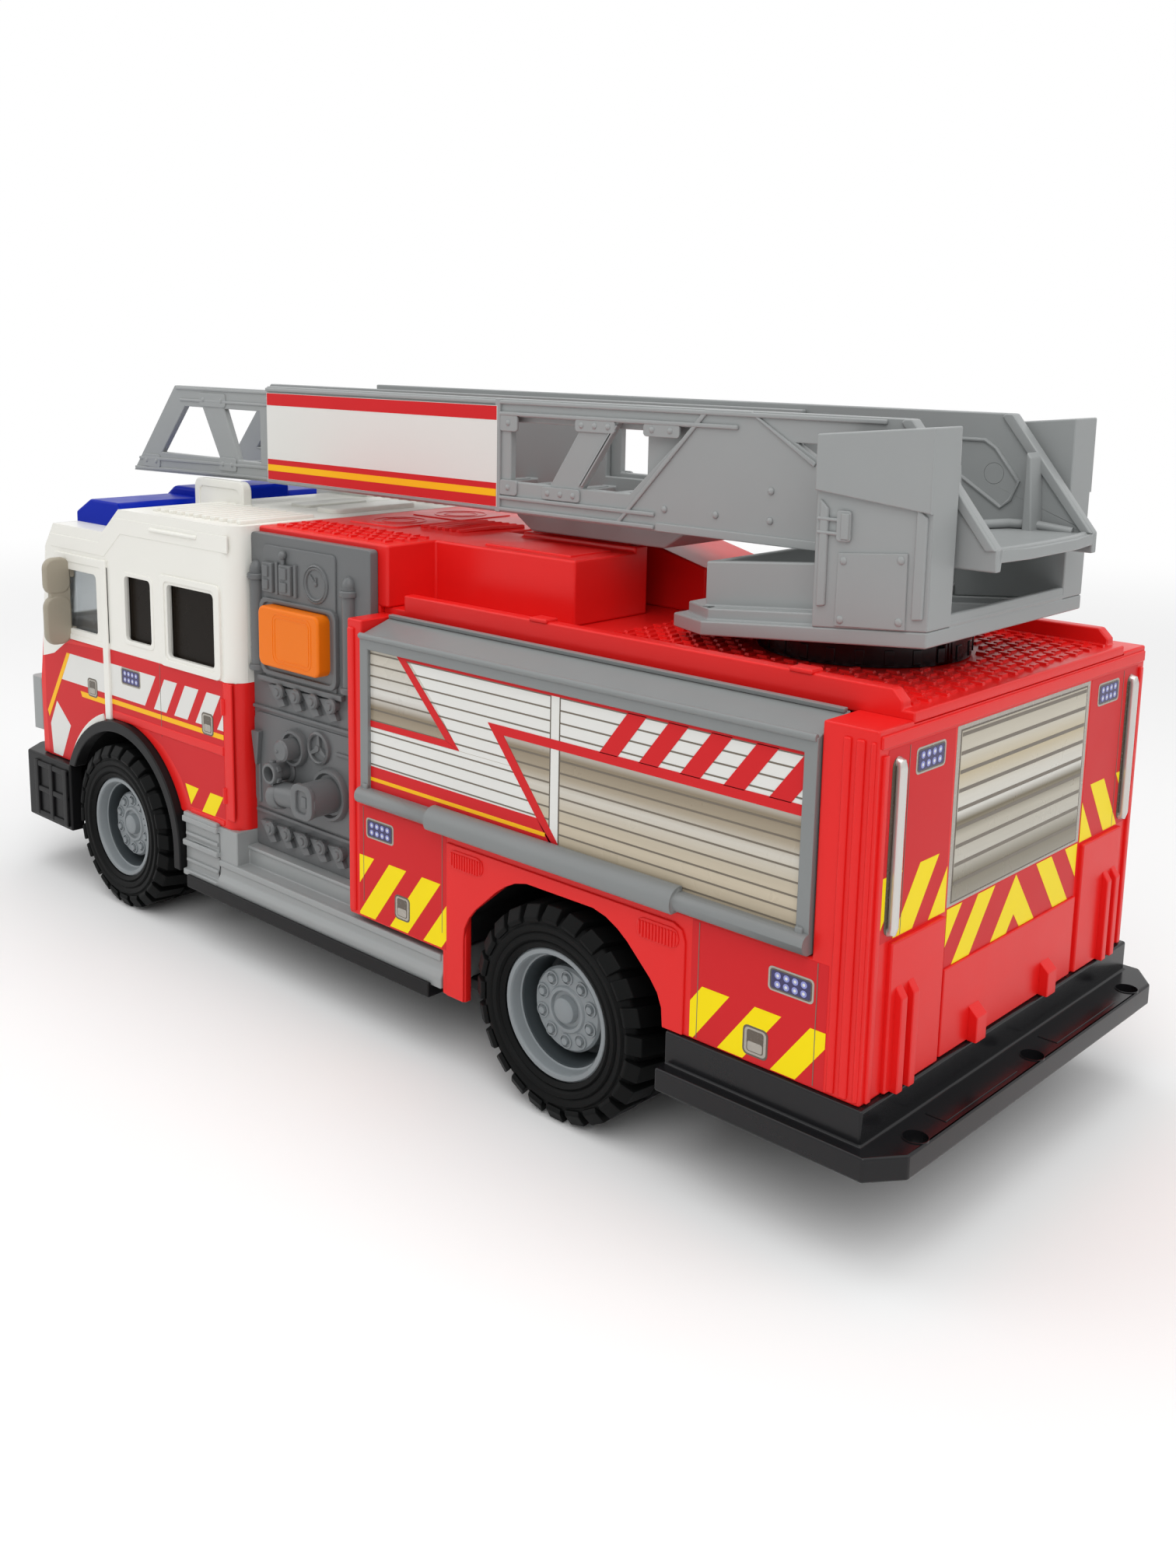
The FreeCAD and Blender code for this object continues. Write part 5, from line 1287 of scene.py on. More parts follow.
@dataclass
class LockerDoor:
    """Flap door with its grip and the printed shutter."""

    side: Side
    back: float = -68.9
    front: float = 69.8
    low: float = 70.1
    high: float = 108.5
    slat_pitch: float = 3.05

    @property
    def label(self) -> str:
        """The side's name as the nodes give it."""
        return self.side.name.lower()

    @property
    def body(self) -> str:
        """The door's body."""
        return "door_" + self.label

    def build(self) -> None:
        """Build the frame and the shutter."""
        frame_shape = Shape.eased("door_frame_" + self.label, 0.3, 2, 40, 1.6)
        extra = Shape()
        extra.prism("X", [(52.6, 115.9), (52.6, 116.5), (54.2, 116.4), (54.0, 115.4)],
                    (-71.6, 72.6), 0.15)
        extra.rod("X", (63.9, 112.0), (-71.9, 72.9), 0.85, 0.2, 12)
        for spot in (-69.8, 70.8):
            extra.box((spot - 1.0, spot + 1.0), (62.8, 64.6), (66.0, 71.4), 0.4)
        frame_shape.also(extra.onto(self.side))
        frame_shape.stand_for("door_frame_" + self.label, DOOR_GREY)
        self.shutter()

    def shutter(self) -> None:
        """Build the shutter's panel and print it."""
        node = "door_shutter_" + self.label
        depth = max(abs(corner.y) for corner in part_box(node)) / MM
        Shape.of_node(node).stand_for(node, GREY, "door_panel_" + self.label)
        prints = Prints("door_print_" + self.label, self.body, Face.SIDE, depth)
        edge = rectangle((self.back, self.front), (self.low, self.high))
        prints.lay(SIDE_SHUTTER, edge)
        prints.lay(PRINT_WHITE, [(54.0, 107.6), (3.0, 107.6), (3.0, 97.0), (43.2, 97.0)], 1)
        prints.lay(PRINT_WHITE, [(43.4, 97.0), (24.5, 97.0), (16.6, 87.5), (35.0, 87.5)], 1)
        prints.lay(PRINT_WHITE, [(71.0, 87.2), (35.0, 87.4), (16.5, 87.4), (7.2, 76.2),
                                 (71.0, 76.2)], 1, edge)
        prints.lay(PRINT_WHITE, rectangle((-70.0, 0.0), (96.0, 108.0)), 1, edge)
        for number in range(13):
            height = 107.45 - self.slat_pitch * number
            for start, end in ((0.2, -70.0), (71.0, 3.0)):
                prints.lay(PRINT_LINE, rectangle((end, start), (height - 0.2, height + 0.2)),
                           2, edge)
        prints.lay(PRINT_WHITE, rectangle((0.2, 3.0), (70.0, 110.8)), 2, edge)
        for spot in (0.1, 3.1):
            prints.lay(PRINT_TAUPE, rectangle((spot - 0.16, spot + 0.16), (70.0, 110.8)), 3, edge)
        self.red_lines(prints, edge)
        prints.finish(self.side)

    def red_lines(self, prints: Prints, edge: Sequence[Point]) -> None:
        """Print the red zigzags, slashes and the low band.

        Args:
            prints: The films of the door.
            edge: The shutter's outline.
        """
        prints.lay(PRINT_RED, [(60.0, 109.4), (-70.0, 109.4), (-70.0, 107.6), (55.2, 107.6)], 4,
                   edge)
        prints.lay(PRINT_RED, [(60.0, 109.4), (55.2, 107.6), (34.8, 87.5), (40.0, 89.4)], 4,
                   edge)
        prints.lay(PRINT_RED, [(40.0, 89.3), (71.0, 89.0), (71.0, 87.3), (35.0, 87.5)], 4, edge)
        prints.lay(PRINT_RED, [(24.5, 97.0), (-70.0, 97.0), (-70.0, 94.6), (19.0, 94.7)], 4,
                   edge)
        prints.lay(PRINT_RED, [(24.5, 97.0), (19.0, 94.7), (-1.0, 70.0), (2.0, 70.0)], 4, edge)
        prints.lay(PRINT_RED, [(7.2, 76.3), (71.0, 76.3), (71.0, 70.0), (1.0, 70.0)], 4, edge)
        prints.lay(PRINT_AMBER, rectangle((4.4, 71.0), (72.3, 73.3)), 5, edge)
        prints.slashes(PRINT_RED, [(-26.5 - 11.9 * n, -21.0 - 11.9 * n) for n in range(5)],
                       (96.8, 107.8), 8.5, 4, edge)


# ---------------------------------------------------------------- pump panels

@dataclass
class PumpPanels:
    """Grey pump panels with posts, levers, gauge, outlets and the orange button."""

    face: float = 54.5
    thickness: float = 3.0
    back: float = 79.7
    front: float = 135.2
    low: float = 36.2
    high: float = 133.2
    posts: tuple[float, ...] = (132.3, 88.7)
    valve_pitch: float = 8.2
    upper_valves: tuple[float, float, int] = (94.9, 86.5, 4)
    lower_valves: tuple[float, float, int] = (92.2, 43.2, 5)
    gauge: Point = (103.0, 121.1)
    wheel: Point = (102.4, 73.2)
    outlet: Point = (97.0, 60.4)
    intake: Point = (113.4, 71.2)
    elbow: Point = (116.2, 56.6)
    drain: Point = (118.4, 63.4)

    def build(self) -> None:
        """Build the panels and all their fittings."""
        side = Shape()
        side.prism("Y", rounded((self.back, self.front), (self.low, self.high), 1.2),
                   (self.face - self.thickness, self.face), 0.5)
        self.frames(side)
        self.switches(side)
        self.valves(side)
        self.outlets(side)
        side.both_sides()
        # The panels' grey is partly their own colour and partly painted shade of their inset
        # place.
        side.stand_for("pump_panels", PANEL_GREY_AND_SHADE)
        self.buttons()

    def frames(self, side: Shape) -> None:
        """Add the raised plates, the button's rim, the seams and the posts.

        Args:
            side: The left panel.
        """
        face = self.face
        side.prism("Y", rounded((94.4, 128.2), (89.6, 130.2), 1.6), raised(face, 0.6), 0.4)
        side.prism("Y", rounded((self.back + 0.6, self.front - 0.4), (49.0, 78.8), 3.0),
                   raised(face, 0.5), 0.4)
        side.ring("Y", rounded((93.4, 129.6), (91.4, 114.6), 3.0),
                  rounded((95.0, 128.0), (92.8, 113.2), 2.2), raised(face, 1.5), 0.4)
        for x, z, lift in (((91.0, 131.0), (89.0, 90.7), 1.6), ((80.4, 134.8), (79.8, 80.9), 0.9),
                           ((80.4, 134.2), (47.2, 48.4), 0.8)):
            side.box(x, raised(face, lift), z, 0.35)
        for station in self.posts:
            side.rod("Z", (station, face), (91.6, 122.0), 2.2, 0.0)
            side.ball((station, face, 122.3), 2.15, (1, 1, 1.25), 20)
            for height, radius in ((119.4, 3.0), (91.8, 2.9)):
                side.lathe([(0.0, 1.0), (0.0, radius - 0.2), (0.3, radius), (1.4, radius),
                            (1.7, radius - 0.3), (1.7, 1.0)], (station, face), 24, "Z",
                           base=height)

    def switches(self, side: Shape) -> None:
        """Add the two breakers, the gauge, the hand wheel and the long lever.

        Args:
            side: The left panel.
        """
        face = self.face
        for back, front in ((120.4, 127.4), (111.6, 119.2)):
            side.box((back + 1.9, front), (face + 0.3, face + 2.0), (116.4, 125.2), 0.4)
            side.box((back + 3.4, front - 0.9), (face + 1.8, face + 2.5), (117.3, 120.2), 0.3)
            side.box((back + 3.4, front - 0.9), (face + 1.8, face + 2.5), (121.0, 124.4), 0.3)
            side.box((back, back + 1.3), (face + 0.3, face + 1.4), (116.0, 125.6), 0.3)
        side.rod("Z", (117.6, face + 1.2), (124.8, 127.6), 0.5, 0.0, 10)
        side.ball((117.6, face + 1.4, 127.9), 1.25, sides=14)
        x, z = self.gauge
        side.lathe([(0.4, 4.1), (1.0, 4.3), (1.2, 4.7), (0.9, 5.0), (1.2, 5.2), (1.0, 5.6),
                    (0.2, 5.8), (0.2, 4.1)], self.gauge, 40, base=face)
        for tip_x, tip_z in ((x + 2.6, z + 2.4), (x - 0.3, z + 1.9)):
            side.tube([(x, face + 0.8, z), (tip_x, face + 0.8, tip_z)], 0.32, 8)
        side.ball((x, face + 0.8, z), 0.7, (1, 0.7, 1), 12)
        x, z = self.wheel
        side.lathe([(0.3, 3.9), (1.4, 3.9), (1.8, 4.3), (1.4, 4.9), (0.3, 5.1)], self.wheel, 40,
                   base=face)
        side.rod("Y", self.wheel, (face + 0.3, face + 1.9), 1.0, 0.3, 16)
        spoke = Shape().prism("Y", [(x - 0.9, z + 0.5), (x + 0.9, z + 0.5), (x + 0.45, z + 4.1),
                                    (x - 0.45, z + 4.1)], (face + 0.3, face + 1.4), 0.25)
        side.also(spoke.spun(3, self.wheel))
        side.prism("Y", [(134.2, 72.8), (130.2, 73.0), (131.6, 62.4), (132.5, 62.4)],
                   (face + 0.2, face + 2.2), 0.3)
        side.box((131.4, 132.7), (face + 0.2, face + 1.1), (50.4, 63.0), 0.4)
        side.box((80.6, 94.6), (face + 0.2, face + 1.2), (72.6, 73.6), 0.35)

    def valves(self, side: Shape) -> None:
        """Add the rows of knobs on their slanting blades.

        Args:
            side: The left panel.
        """
        face = self.face
        for start, height, count in (self.upper_valves, self.lower_valves):
            for number in range(count):
                x = start + self.valve_pitch * number
                blade = [(6.6, 1.9), (1.6, 2.3), (-1.9, -3.4), (1.2, -4.4)]
                side.prism("Y", [(x + a, height + b) for a, b in blade], raised(face, 1.5, 0.2),
                           0.3)
                side.lathe([(0.0, 0.0), (0.0, 1.6), (1.5, 1.6), (1.7, 2.2), (2.5, 2.3), (3.0, 1.9),
                            (3.0, 1.2), (3.4, 1.0), (3.4, 0.0)], (x, height + 0.7), 24, base=face)

    def outlets(self, side: Shape) -> None:
        """Add the intake, the hollow drain, the big outlet and its elbow.

        Args:
            side: The left panel.
        """
        face = self.face
        side.lathe([(0.0, 0.0), (0.0, 5.6), (1.9, 5.6), (2.6, 5.2), (2.6, 4.5), (1.5, 4.1),
                    (1.5, 3.3), (6.2, 3.25), (6.8, 2.7), (6.8, 0.0)], self.intake, 48, base=face)
        side.ball((self.intake[0] + 1.4, face + 6.7, self.intake[1] - 0.4), 0.6, sides=10)
        side.rod("X", (face + 2.3, self.intake[1] - 0.6), (117.6, 119.2), 1.2, 0.4, 14)
        side.lathe([(0.0, 0.0), (0.0, 4.3), (0.9, 4.3), (1.3, 3.9), (1.3, 2.9), (4.6, 2.9),
                    (4.9, 3.3), (7.0, 3.3), (7.4, 3.0), (7.4, 2.3), (1.2, 2.0), (1.2, 0.0)],
                   self.drain, 40, base=face)
        lug = Shape().box((self.drain[0] - 0.8, self.drain[0] + 0.8), (face + 4.9, face + 6.4),
                          (self.drain[1] + 2.8, self.drain[1] + 3.9), 0.25)
        side.also(lug.spun(6, self.drain))
        side.lathe([(0.0, 0.0), (0.0, 7.9), (1.5, 7.9), (2.3, 7.4), (2.3, 6.6), (1.3, 6.0),
                    (1.3, 5.2), (10.8, 5.2), (11.0, 4.9), (11.0, 0.0)], self.outlet, 56, base=face)
        x, z = self.outlet
        side.ring("Y", rounded((x - 5.0, x + 5.0), (z - 5.2, z + 5.2), 3.4, 6),
                  rounded((x - 2.5, x + 2.5), (z - 3.3, z + 3.3), 1.4, 6),
                  (face + 10.2, face + 11.8), 0.4)
        side.box((x - 1.8, x + 0.4), (face + 10.8, face + 11.4), (z - 1.6, z + 1.6), 0.25)
        a, b = self.elbow
        side.tube([(x, face + 4.6, z - 1.2), (x + 8, face + 4.4, z - 2.4),
                   (a - 0.5, face + 4.0, b + 0.6)], 3.7, 20)
        collar = Shape().rod("X", (face + 4.0, b), (a - 1.0, a + 3.6), 4.1, 0.9, 28)
        side.also(collar.turned(12, (a, 0, b)))

    def buttons(self) -> None:
        """Build the round-cornered orange buttons with their engraved frame."""
        side = Shape()
        back, front, low, high = 97.0, 125.6, 95.1, 112.9
        skin = self.face + 4.95
        side.prism("Y", rounded((back, front), (low, high), 2.4, 6), (self.face - 0.2, skin), 0.8,
                   steps=4)
        for grow in (0.0, 1.1):
            outer = rounded((101.2 - grow, 117.4 + grow), (97.6 - grow, 110.4 + grow),
                            1.6 + grow, 6)
            inner = rounded((101.5 - grow, 117.1 + grow), (97.9 - grow, 110.1 + grow),
                            1.3 + grow, 6)
            side.ring("Y", outer, inner, (skin - 0.3, skin + 0.12), 0.08)
        side.both_sides().stand_for("sound_buttons", ORANGE)


# ---------------------------------------------------------------- cab

@dataclass
class Cab:
    """Red and white cab with its windows, light bar, cradles, mirrors and grille."""

    face: float = 61.5
    roof: float = 134.8
    arch_centre: Point = (200.0, 27.9)
    arch_radius: float = 36.1
    bar_back: float = 214.0
    bar_front: float = 242.0
    bar_half: float = 52.0
    header: float = 126.4
    grille_front: float = 263.0

    def lower(self) -> None:
        """Build the red lower half with its seams, hinge rods and front ledge."""
        shape = Shape.eased("cab_lower", 0.5, shortest=1.2)
        side = Shape()
        side.box((136.6, 140.6), raised(self.face, 0.35, 0.5), (44.0, 87.0), 0.35)
        side.box((141.6, 206.0), raised(self.face, 0.35, 0.5), (63.9, 66.8), 0.35)
        side.box((142.0, 160.4), raised(self.face, 0.4, 0.5), (41.6, 43.2), 0.35)
        for low in (49.0, 77.0):
            side.rod("Z", (141.0, self.face + 0.1), (low, low + 5.0), 0.9, 0.3, 12)
        shape.also(side.both_sides())
        shape.box((252.6, 255.2), (-47.0, 47.0), (71.6, 74.0), 0.5)
        shape.stand_for("cab_lower", RED)

    def upper(self) -> None:
        """Build the white upper half with its round roof, door frames, louvres and seams."""
        shape = Shape.of_node("cab_upper")
        self.round_roof(shape.bm)
        Shape.ease(shape.bm, 0.5, 3, 32, 1.2)
        side = Shape()
        low = self.face - 1.2
        for outer, inner, lift in (
                (((141.3, 174.8), (87.4, 116.6)), ((144.0, 171.6), (89.6, 114.6)), 0.8),
                (((143.4, 172.0), (89.0, 115.2)), ((145.0, 170.5), (90.6, 113.6)), 0.35),
                (((178.8, 197.2), (90.8, 114.8)), ((180.3, 195.7), (92.3, 113.3)), 0.25),
                (((206.2, 241.0), (87.3, 117.0)), ((209.4, 238.0), (89.2, 114.2)), 0.7),
                (((209.0, 238.6), (88.8, 114.8)), ((213.3, 234.9), (91.1, 111.5)), 0.4)):
            side.ring("Y", rounded(*outer, 2.2), rounded(*inner, 1.6),
                      (low, self.face + lift), 0.25)
        side.prism("Y", [(137.2, 126.8), (197.1, 126.8), (207.9, 118.4), (243.0, 118.4),
                         (243.0, 122.8), (211.0, 122.8), (199.6, 131.9), (137.2, 131.9)],
                   raised(self.face, 0.2, 0.4), 0.15)
        side.box((152.9, 179.2), raised(self.face, 0.9, 0.6), (129.4, 130.7), 0.5)
        for number in range(11):
            spot = 184.8 - number * 4.6
            side.box((spot, spot + 2.3), (28.0, 55.5), raised(self.roof, 1.2, 0.2), 0.35)
        shape.also(side.both_sides())
        shape.prism("Z", rounded((141.5, 153.0), (-17.0, 17.0), 2.5), raised(self.roof, 1.6), 0.5)
        shape.prism("Z", rounded((162.0, 172.0), (-13.0, 13.0), 2.0), raised(self.roof, 1.0), 0.4)
        shape.stand_for("cab_upper", WHITE)

    def round_roof(self, mesh: bmesh.types.BMesh) -> None:
        """Round the long top edges of the roof, its slope and its header.

        Args:
            mesh: The cab's upper half.
        """
        rims = []
        for edge in mesh.edges:
            ends = [vert.co for vert in edge.verts]
            outside = all(abs(point.y) > self.face - 0.1 for point in ends)
            level = all(point.z > self.header - 0.2 for point in ends)
            along = abs(ends[0].x - ends[1].x) > 4.0
            if outside and level and along:
                rims.append(edge)
        bmesh.ops.bevel(mesh, geom=rims, offset=3.0, offset_type="OFFSET", segments=6,
                        profile=0.5, affect="EDGES", material=-1, clamp_overlap=True)

    def trim(self) -> None:
        """Build the white band of the wheel arch, the door bar and the patch by the screen."""
        reach = self.arch_radius
        x, z = self.arch_centre
        outer, inner = [], []
        for degrees in range(24, 76, 4):
            angle = math.radians(degrees)
            outer.append((x + (reach + 2.4) * math.cos(angle), z + (reach + 2.4)
                          * math.sin(angle)))
            inner.append((x + reach * math.cos(angle), z + reach * math.sin(angle)))
        shape = Shape().prism("Y", outer + inner[::-1], raised(self.face, 0.6), 0.25)
        shape.prism("Y", [(206.2, z + reach - 0.6), (209.6, z + reach - 1.0), (209.6, 117.2),
                          (206.2, 117.2)], raised(self.face, 1.0), 0.4)
        shape.prism("Y", [(236.0, 85.2), (244.0, 80.5), (249.5, 79.0), (252.0, 78.4),
                          (251.0, 87.2), (236.0, 87.2)], raised(self.face, 0.12))
        shape.both_sides().finish("cab_trim", WHITE, "chassis")

    def glazing(self) -> None:
        """Build the panes and what shows through them."""
        soften("smoked_windows", SMOKED, 0.0)
        soften("windscreen", CLEAR, 0.0)
        inside = Shape.eased("cab_interior", 1.0, 3, shortest=2.0)
        inside.rod("X", (30.0, 88.0), (222.0, 232.5), 1.2, 0.2, 12)
        inside.lathe([(221.1, 7.2), (222.0, 6.3), (222.9, 7.2), (222.0, 8.1)], (30.0, 88.0), 32,
                     "X")
        for side in (-24.0, 24.0):
            for back, top in ((182.4, 107.0), (138.6, 105.0)):
                inside.prism("X", rounded((side - 15, side + 15), (83.0, top), 4),
                             (back + 2.0, back + 5.0), 1.0)
                inside.prism("Z", rounded((back + 4, back + 20), (side - 15, side + 15), 4),
                             (80.0, 84.0), 1.0)
        inside.stand_for("cab_interior", INSIDE)

    def light_bar(self) -> None:
        """Build the blue light bar: two smooth lenses with a higher middle."""
        back, front, half, base = self.bar_back, self.bar_front, self.bar_half, self.header
        bar = Shape()
        profile = [(back + 0.1, base - 0.6), (front + 0.0, base - 0.6), (front + 0.0, base + 3.4),
                   (front - 7.6, base + 8.1), (back + 2.0, base + 8.1), (back + 0.1, base + 6.4)]
        for low, high in ((18.4, half), (-half, -18.4)):
            bar.prism("Y", profile, (low, high), 0.8, steps=4)
        for vert in bar.bm.verts:
            if abs(vert.co.y) > half - 2.0 and vert.co.z > base + 5.0:
                vert.co.y *= 1 - 1.0 / half
        bar.prism("Y", [(back + 0.2, base - 0.5), (front - 0.4, base - 0.5),
                        (front - 2.6, base + 6.6), (front - 9.3, base + 11.0),
                        (back + 0.3, base + 11.0)], (-18.8, 18.8), 1.4, steps=4)
        bar.stand_for("light_bar", BLUE, "light_bar_lenses")

    def cradles(self) -> None:
        """Build the round-cornered cradles that the ladder rests between."""
        side = Shape()
        side.prism("Y", rounded((177.0, 205.6), (127.0, 142.9), 3.0), (24.1, 27.0), 0.7, steps=3)
        side.ring("Y", rounded((177.0, 205.6), (127.0, 142.9), 3.0),
                  rounded((179.8, 203.0), (129.0, 140.2), 2.2), (26.0, 27.5), 0.35)
        side.both_sides().stand_for("ladder_cradles", WHITE)

    def mirrors(self) -> None:
        """Build the mirrors, each of two round-cornered blocks, a bar and two brackets."""
        mirror = Shape()
        for across, up, radius in (((60.9, 70.6), (103.2, 115.8), 3.6),
                                   ((60.9, 70.8), (85.8, 102.9), 4.0)):
            mirror.prism("X", rounded(across, up, radius, 6), (231.1, 233.9), 1.1, steps=4)
        mirror.prism("X", [(61.2, 100.0), (68.6, 100.0), (68.6, 106.0), (61.2, 106.0)],
                     (231.4, 233.6), 0.4)
        for height in (90.0, 110.0):
            mirror.box((231.6, 233.4), (59.4, 62.4), (height - 1.4, height + 1.4), 0.3)
        mirror.both_sides().stand_for("mirrors", BEIGE)

    def grille(self) -> None:
        """Build the grille with its ribs and the front lamps."""
        grille = Shape.eased("front_grille", 0.5, shortest=1.2)
        front = self.grille_front
        for middle in (-15.0, 0.0, 15.0):
            for low in (56.0, 59.4, 62.8):
                grille.box((front - 2.6, front - 1.2), (middle - 4.3, middle + 4.3),
                           (low, low + 1.2), 0.3)
        lamps, lenses = Shape(), Shape()
        for spot in (34.0, 48.5):
            lamps.lathe([(-0.4, 5.0), (0.7, 5.3), (0.9, 5.7), (0.9, 6.2), (-0.4, 6.6)],
                        (spot, 60.0), 36, "X", base=front)
            lenses.ball((front - 0.3, spot, 60.0), 5.1, (0.26, 1, 1), 24)
        grille.also(lamps.both_sides())
        lenses.both_sides().finish("front_lamp_lenses", CHROME, "chassis")
        grille.stand_for("front_grille", GREY)

    def prints(self) -> None:
        """Print both doors' stickers."""
        films = Prints("cab_side_print", "chassis", Face.SIDE, self.face)
        rear = [(141.5, 66.6), (206.4, 66.6), (206.4, 87.4), (141.5, 87.4)]
        films.lay(PRINT_RED, rear)
        films.lay(PRINT_WHITE, [(178.9, 82.7), (185.8, 71.9), (206.4, 71.9), (206.4, 82.7)], 1)
        films.slashes(PRINT_WHITE, ((166.5, 173.8), (154.5, 162.0), (142.7, 150.0),
                                    (131.0, 138.2)), (71.8, 82.6), 6.6, 1, rear)
        films.lay(PRINT_AMBER, rectangle((141.5, 206.4), (69.0, 70.6)), 1)
        films.lamp((188.0, 199.8), (76.8, 82.7))
        films.latch((146.8, 153.0), (69.0, 76.0), 3)
        low = [(141.5, 43.8), (160.6, 43.8), (166.0, 52.0), (170.4, 56.2), (176.2, 60.4),
               (184.0, 63.4), (184.0, 66.6), (141.5, 66.6)]
        films.lay(PRINT_RED, low)
        films.slashes(PRINT_YELLOW, ((142.5, 149.5),), (43.5, 50.6), 4.8, 1)
        films.lay(PRINT_YELLOW, [(163.4, 50.7), (156.0, 50.5), (160.4, 44.4)], 1)
        films.lay(PRINT_LINE, rectangle((176.1, 176.3), (63.4, 87.0)), 2)
        door = [(209.4, 64.6), (219.0, 61.0), (226.9, 54.8), (233.0, 47.0), (235.0, 43.2),
                (250.6, 42.9), (251.6, 60.0), (251.0, 78.5), (244.0, 80.5), (236.0, 85.2),
                (209.4, 86.4)]
        films.lay(PRINT_RED, door)
        films.lay(PRINT_WHITE, [(209.4, 71.8), (239.6, 71.8), (233.2, 81.8), (209.4, 81.8)], 1)
        films.lay(PRINT_AMBER, [(209.4, 67.8), (226.0, 67.8), (227.0, 69.7), (209.4, 69.7)], 1)
        films.lay(PRINT_WHITE, [(243.8, 63.2), (234.8, 55.9), (241.5, 43.5), (247.8, 43.6),
                                (248.9, 54.3)], 1)
        films.lay(PRINT_AMBER, [(233.2, 81.8), (235.4, 81.8), (250.6, 58.8), (249.6, 56.6)], 2)
        films.latch((215.6, 221.8), (69.0, 75.4), 3)
        films.finish()

    def build(self) -> None:
        """Build the cab."""
        self.lower()
        self.upper()
        self.trim()
        self.glazing()
        self.light_bar()
        self.cradles()
        self.mirrors()
        self.grille()
        self.prints()


# ---------------------------------------------------------------- turntable and ladder

@dataclass
class Turntable:
    """Black toothed ring, grey stepped base and the two cheeks that hold the ladder."""

    centre: float = -42.0
    ring_radius: float = 25.5
    face: float = 36.5

    def build(self) -> None:
        """Build the ring, the base, the cheeks and the pin."""
        ring = Shape.of_node("turntable_ring")
        reach = self.centre + self.ring_radius
        for number in range(24):
            tooth = Shape().box((reach - 0.4, reach + 0.3), (-1.1, 1.1), (118.3, 121.8), 0.2)
            ring.also(tooth.turned(15 * number, (self.centre, 0, 0), "Z"))
        ring.stand_for("turntable_ring", GLOSS_BLACK)
        soften("turntable_base", GREY, 0.45, 1.4, 3)
        self.cheeks()
        soften("lift_pin", GREY, 0.0)

    def cheeks(self) -> None:
        """Build the cheeks with their ribs, riveted plate, latch and rear lip."""
        shape = Shape.eased("turntable_cheeks", 0.4, 3, shortest=1.4)
        side = Shape()
        face = self.face
        for back, front in ((-78.4, -75.8), (-54.4, -52.2)):
            side.prism("Y", [(back, 133.6), (front, 133.2), (front, 157.0), (back, 155.0)],
                       raised(face, 0.7, 0.4), 0.4)
        plate = [(-74.4, 130.8), (-57.0, 129.4), (-57.2, 145.6), (-74.2, 147.2)]
        side.prism("Y", plate, raised(face, 0.45), 0.25)
        for x, z in plate:
            x += 1.5 if x < -65 else -1.5
            z += 1.6 if z < 140 else -1.6
            side.ball((x, face + 0.4, z), 0.95, (1, 0.5, 1), 12)
        side.prism("Y", rounded((-60.2, -56.6), (148.1, 154.9), 0.8), raised(face, 0.8), 0.3)
        side.box((-60.0, -57.9), (face + 0.3, face + 1.2), (148.6, 154.4), 0.35)
        for height in (149.7, 152.7):
            side.rod("X", (face + 0.4, height), (-58.0, -51.8), 0.42, 0.0, 10)
        shape.also(side.both_sides())
        shape.prism("Y", [(-79.3, 129.6), (-79.3, 133.8), (-78.0, 133.8), (-74.2, 130.4),
                          (-74.2, 129.2)], (-27.0, 27.0), 0.5)
        shape.stand_for("turntable_cheeks", GREY)


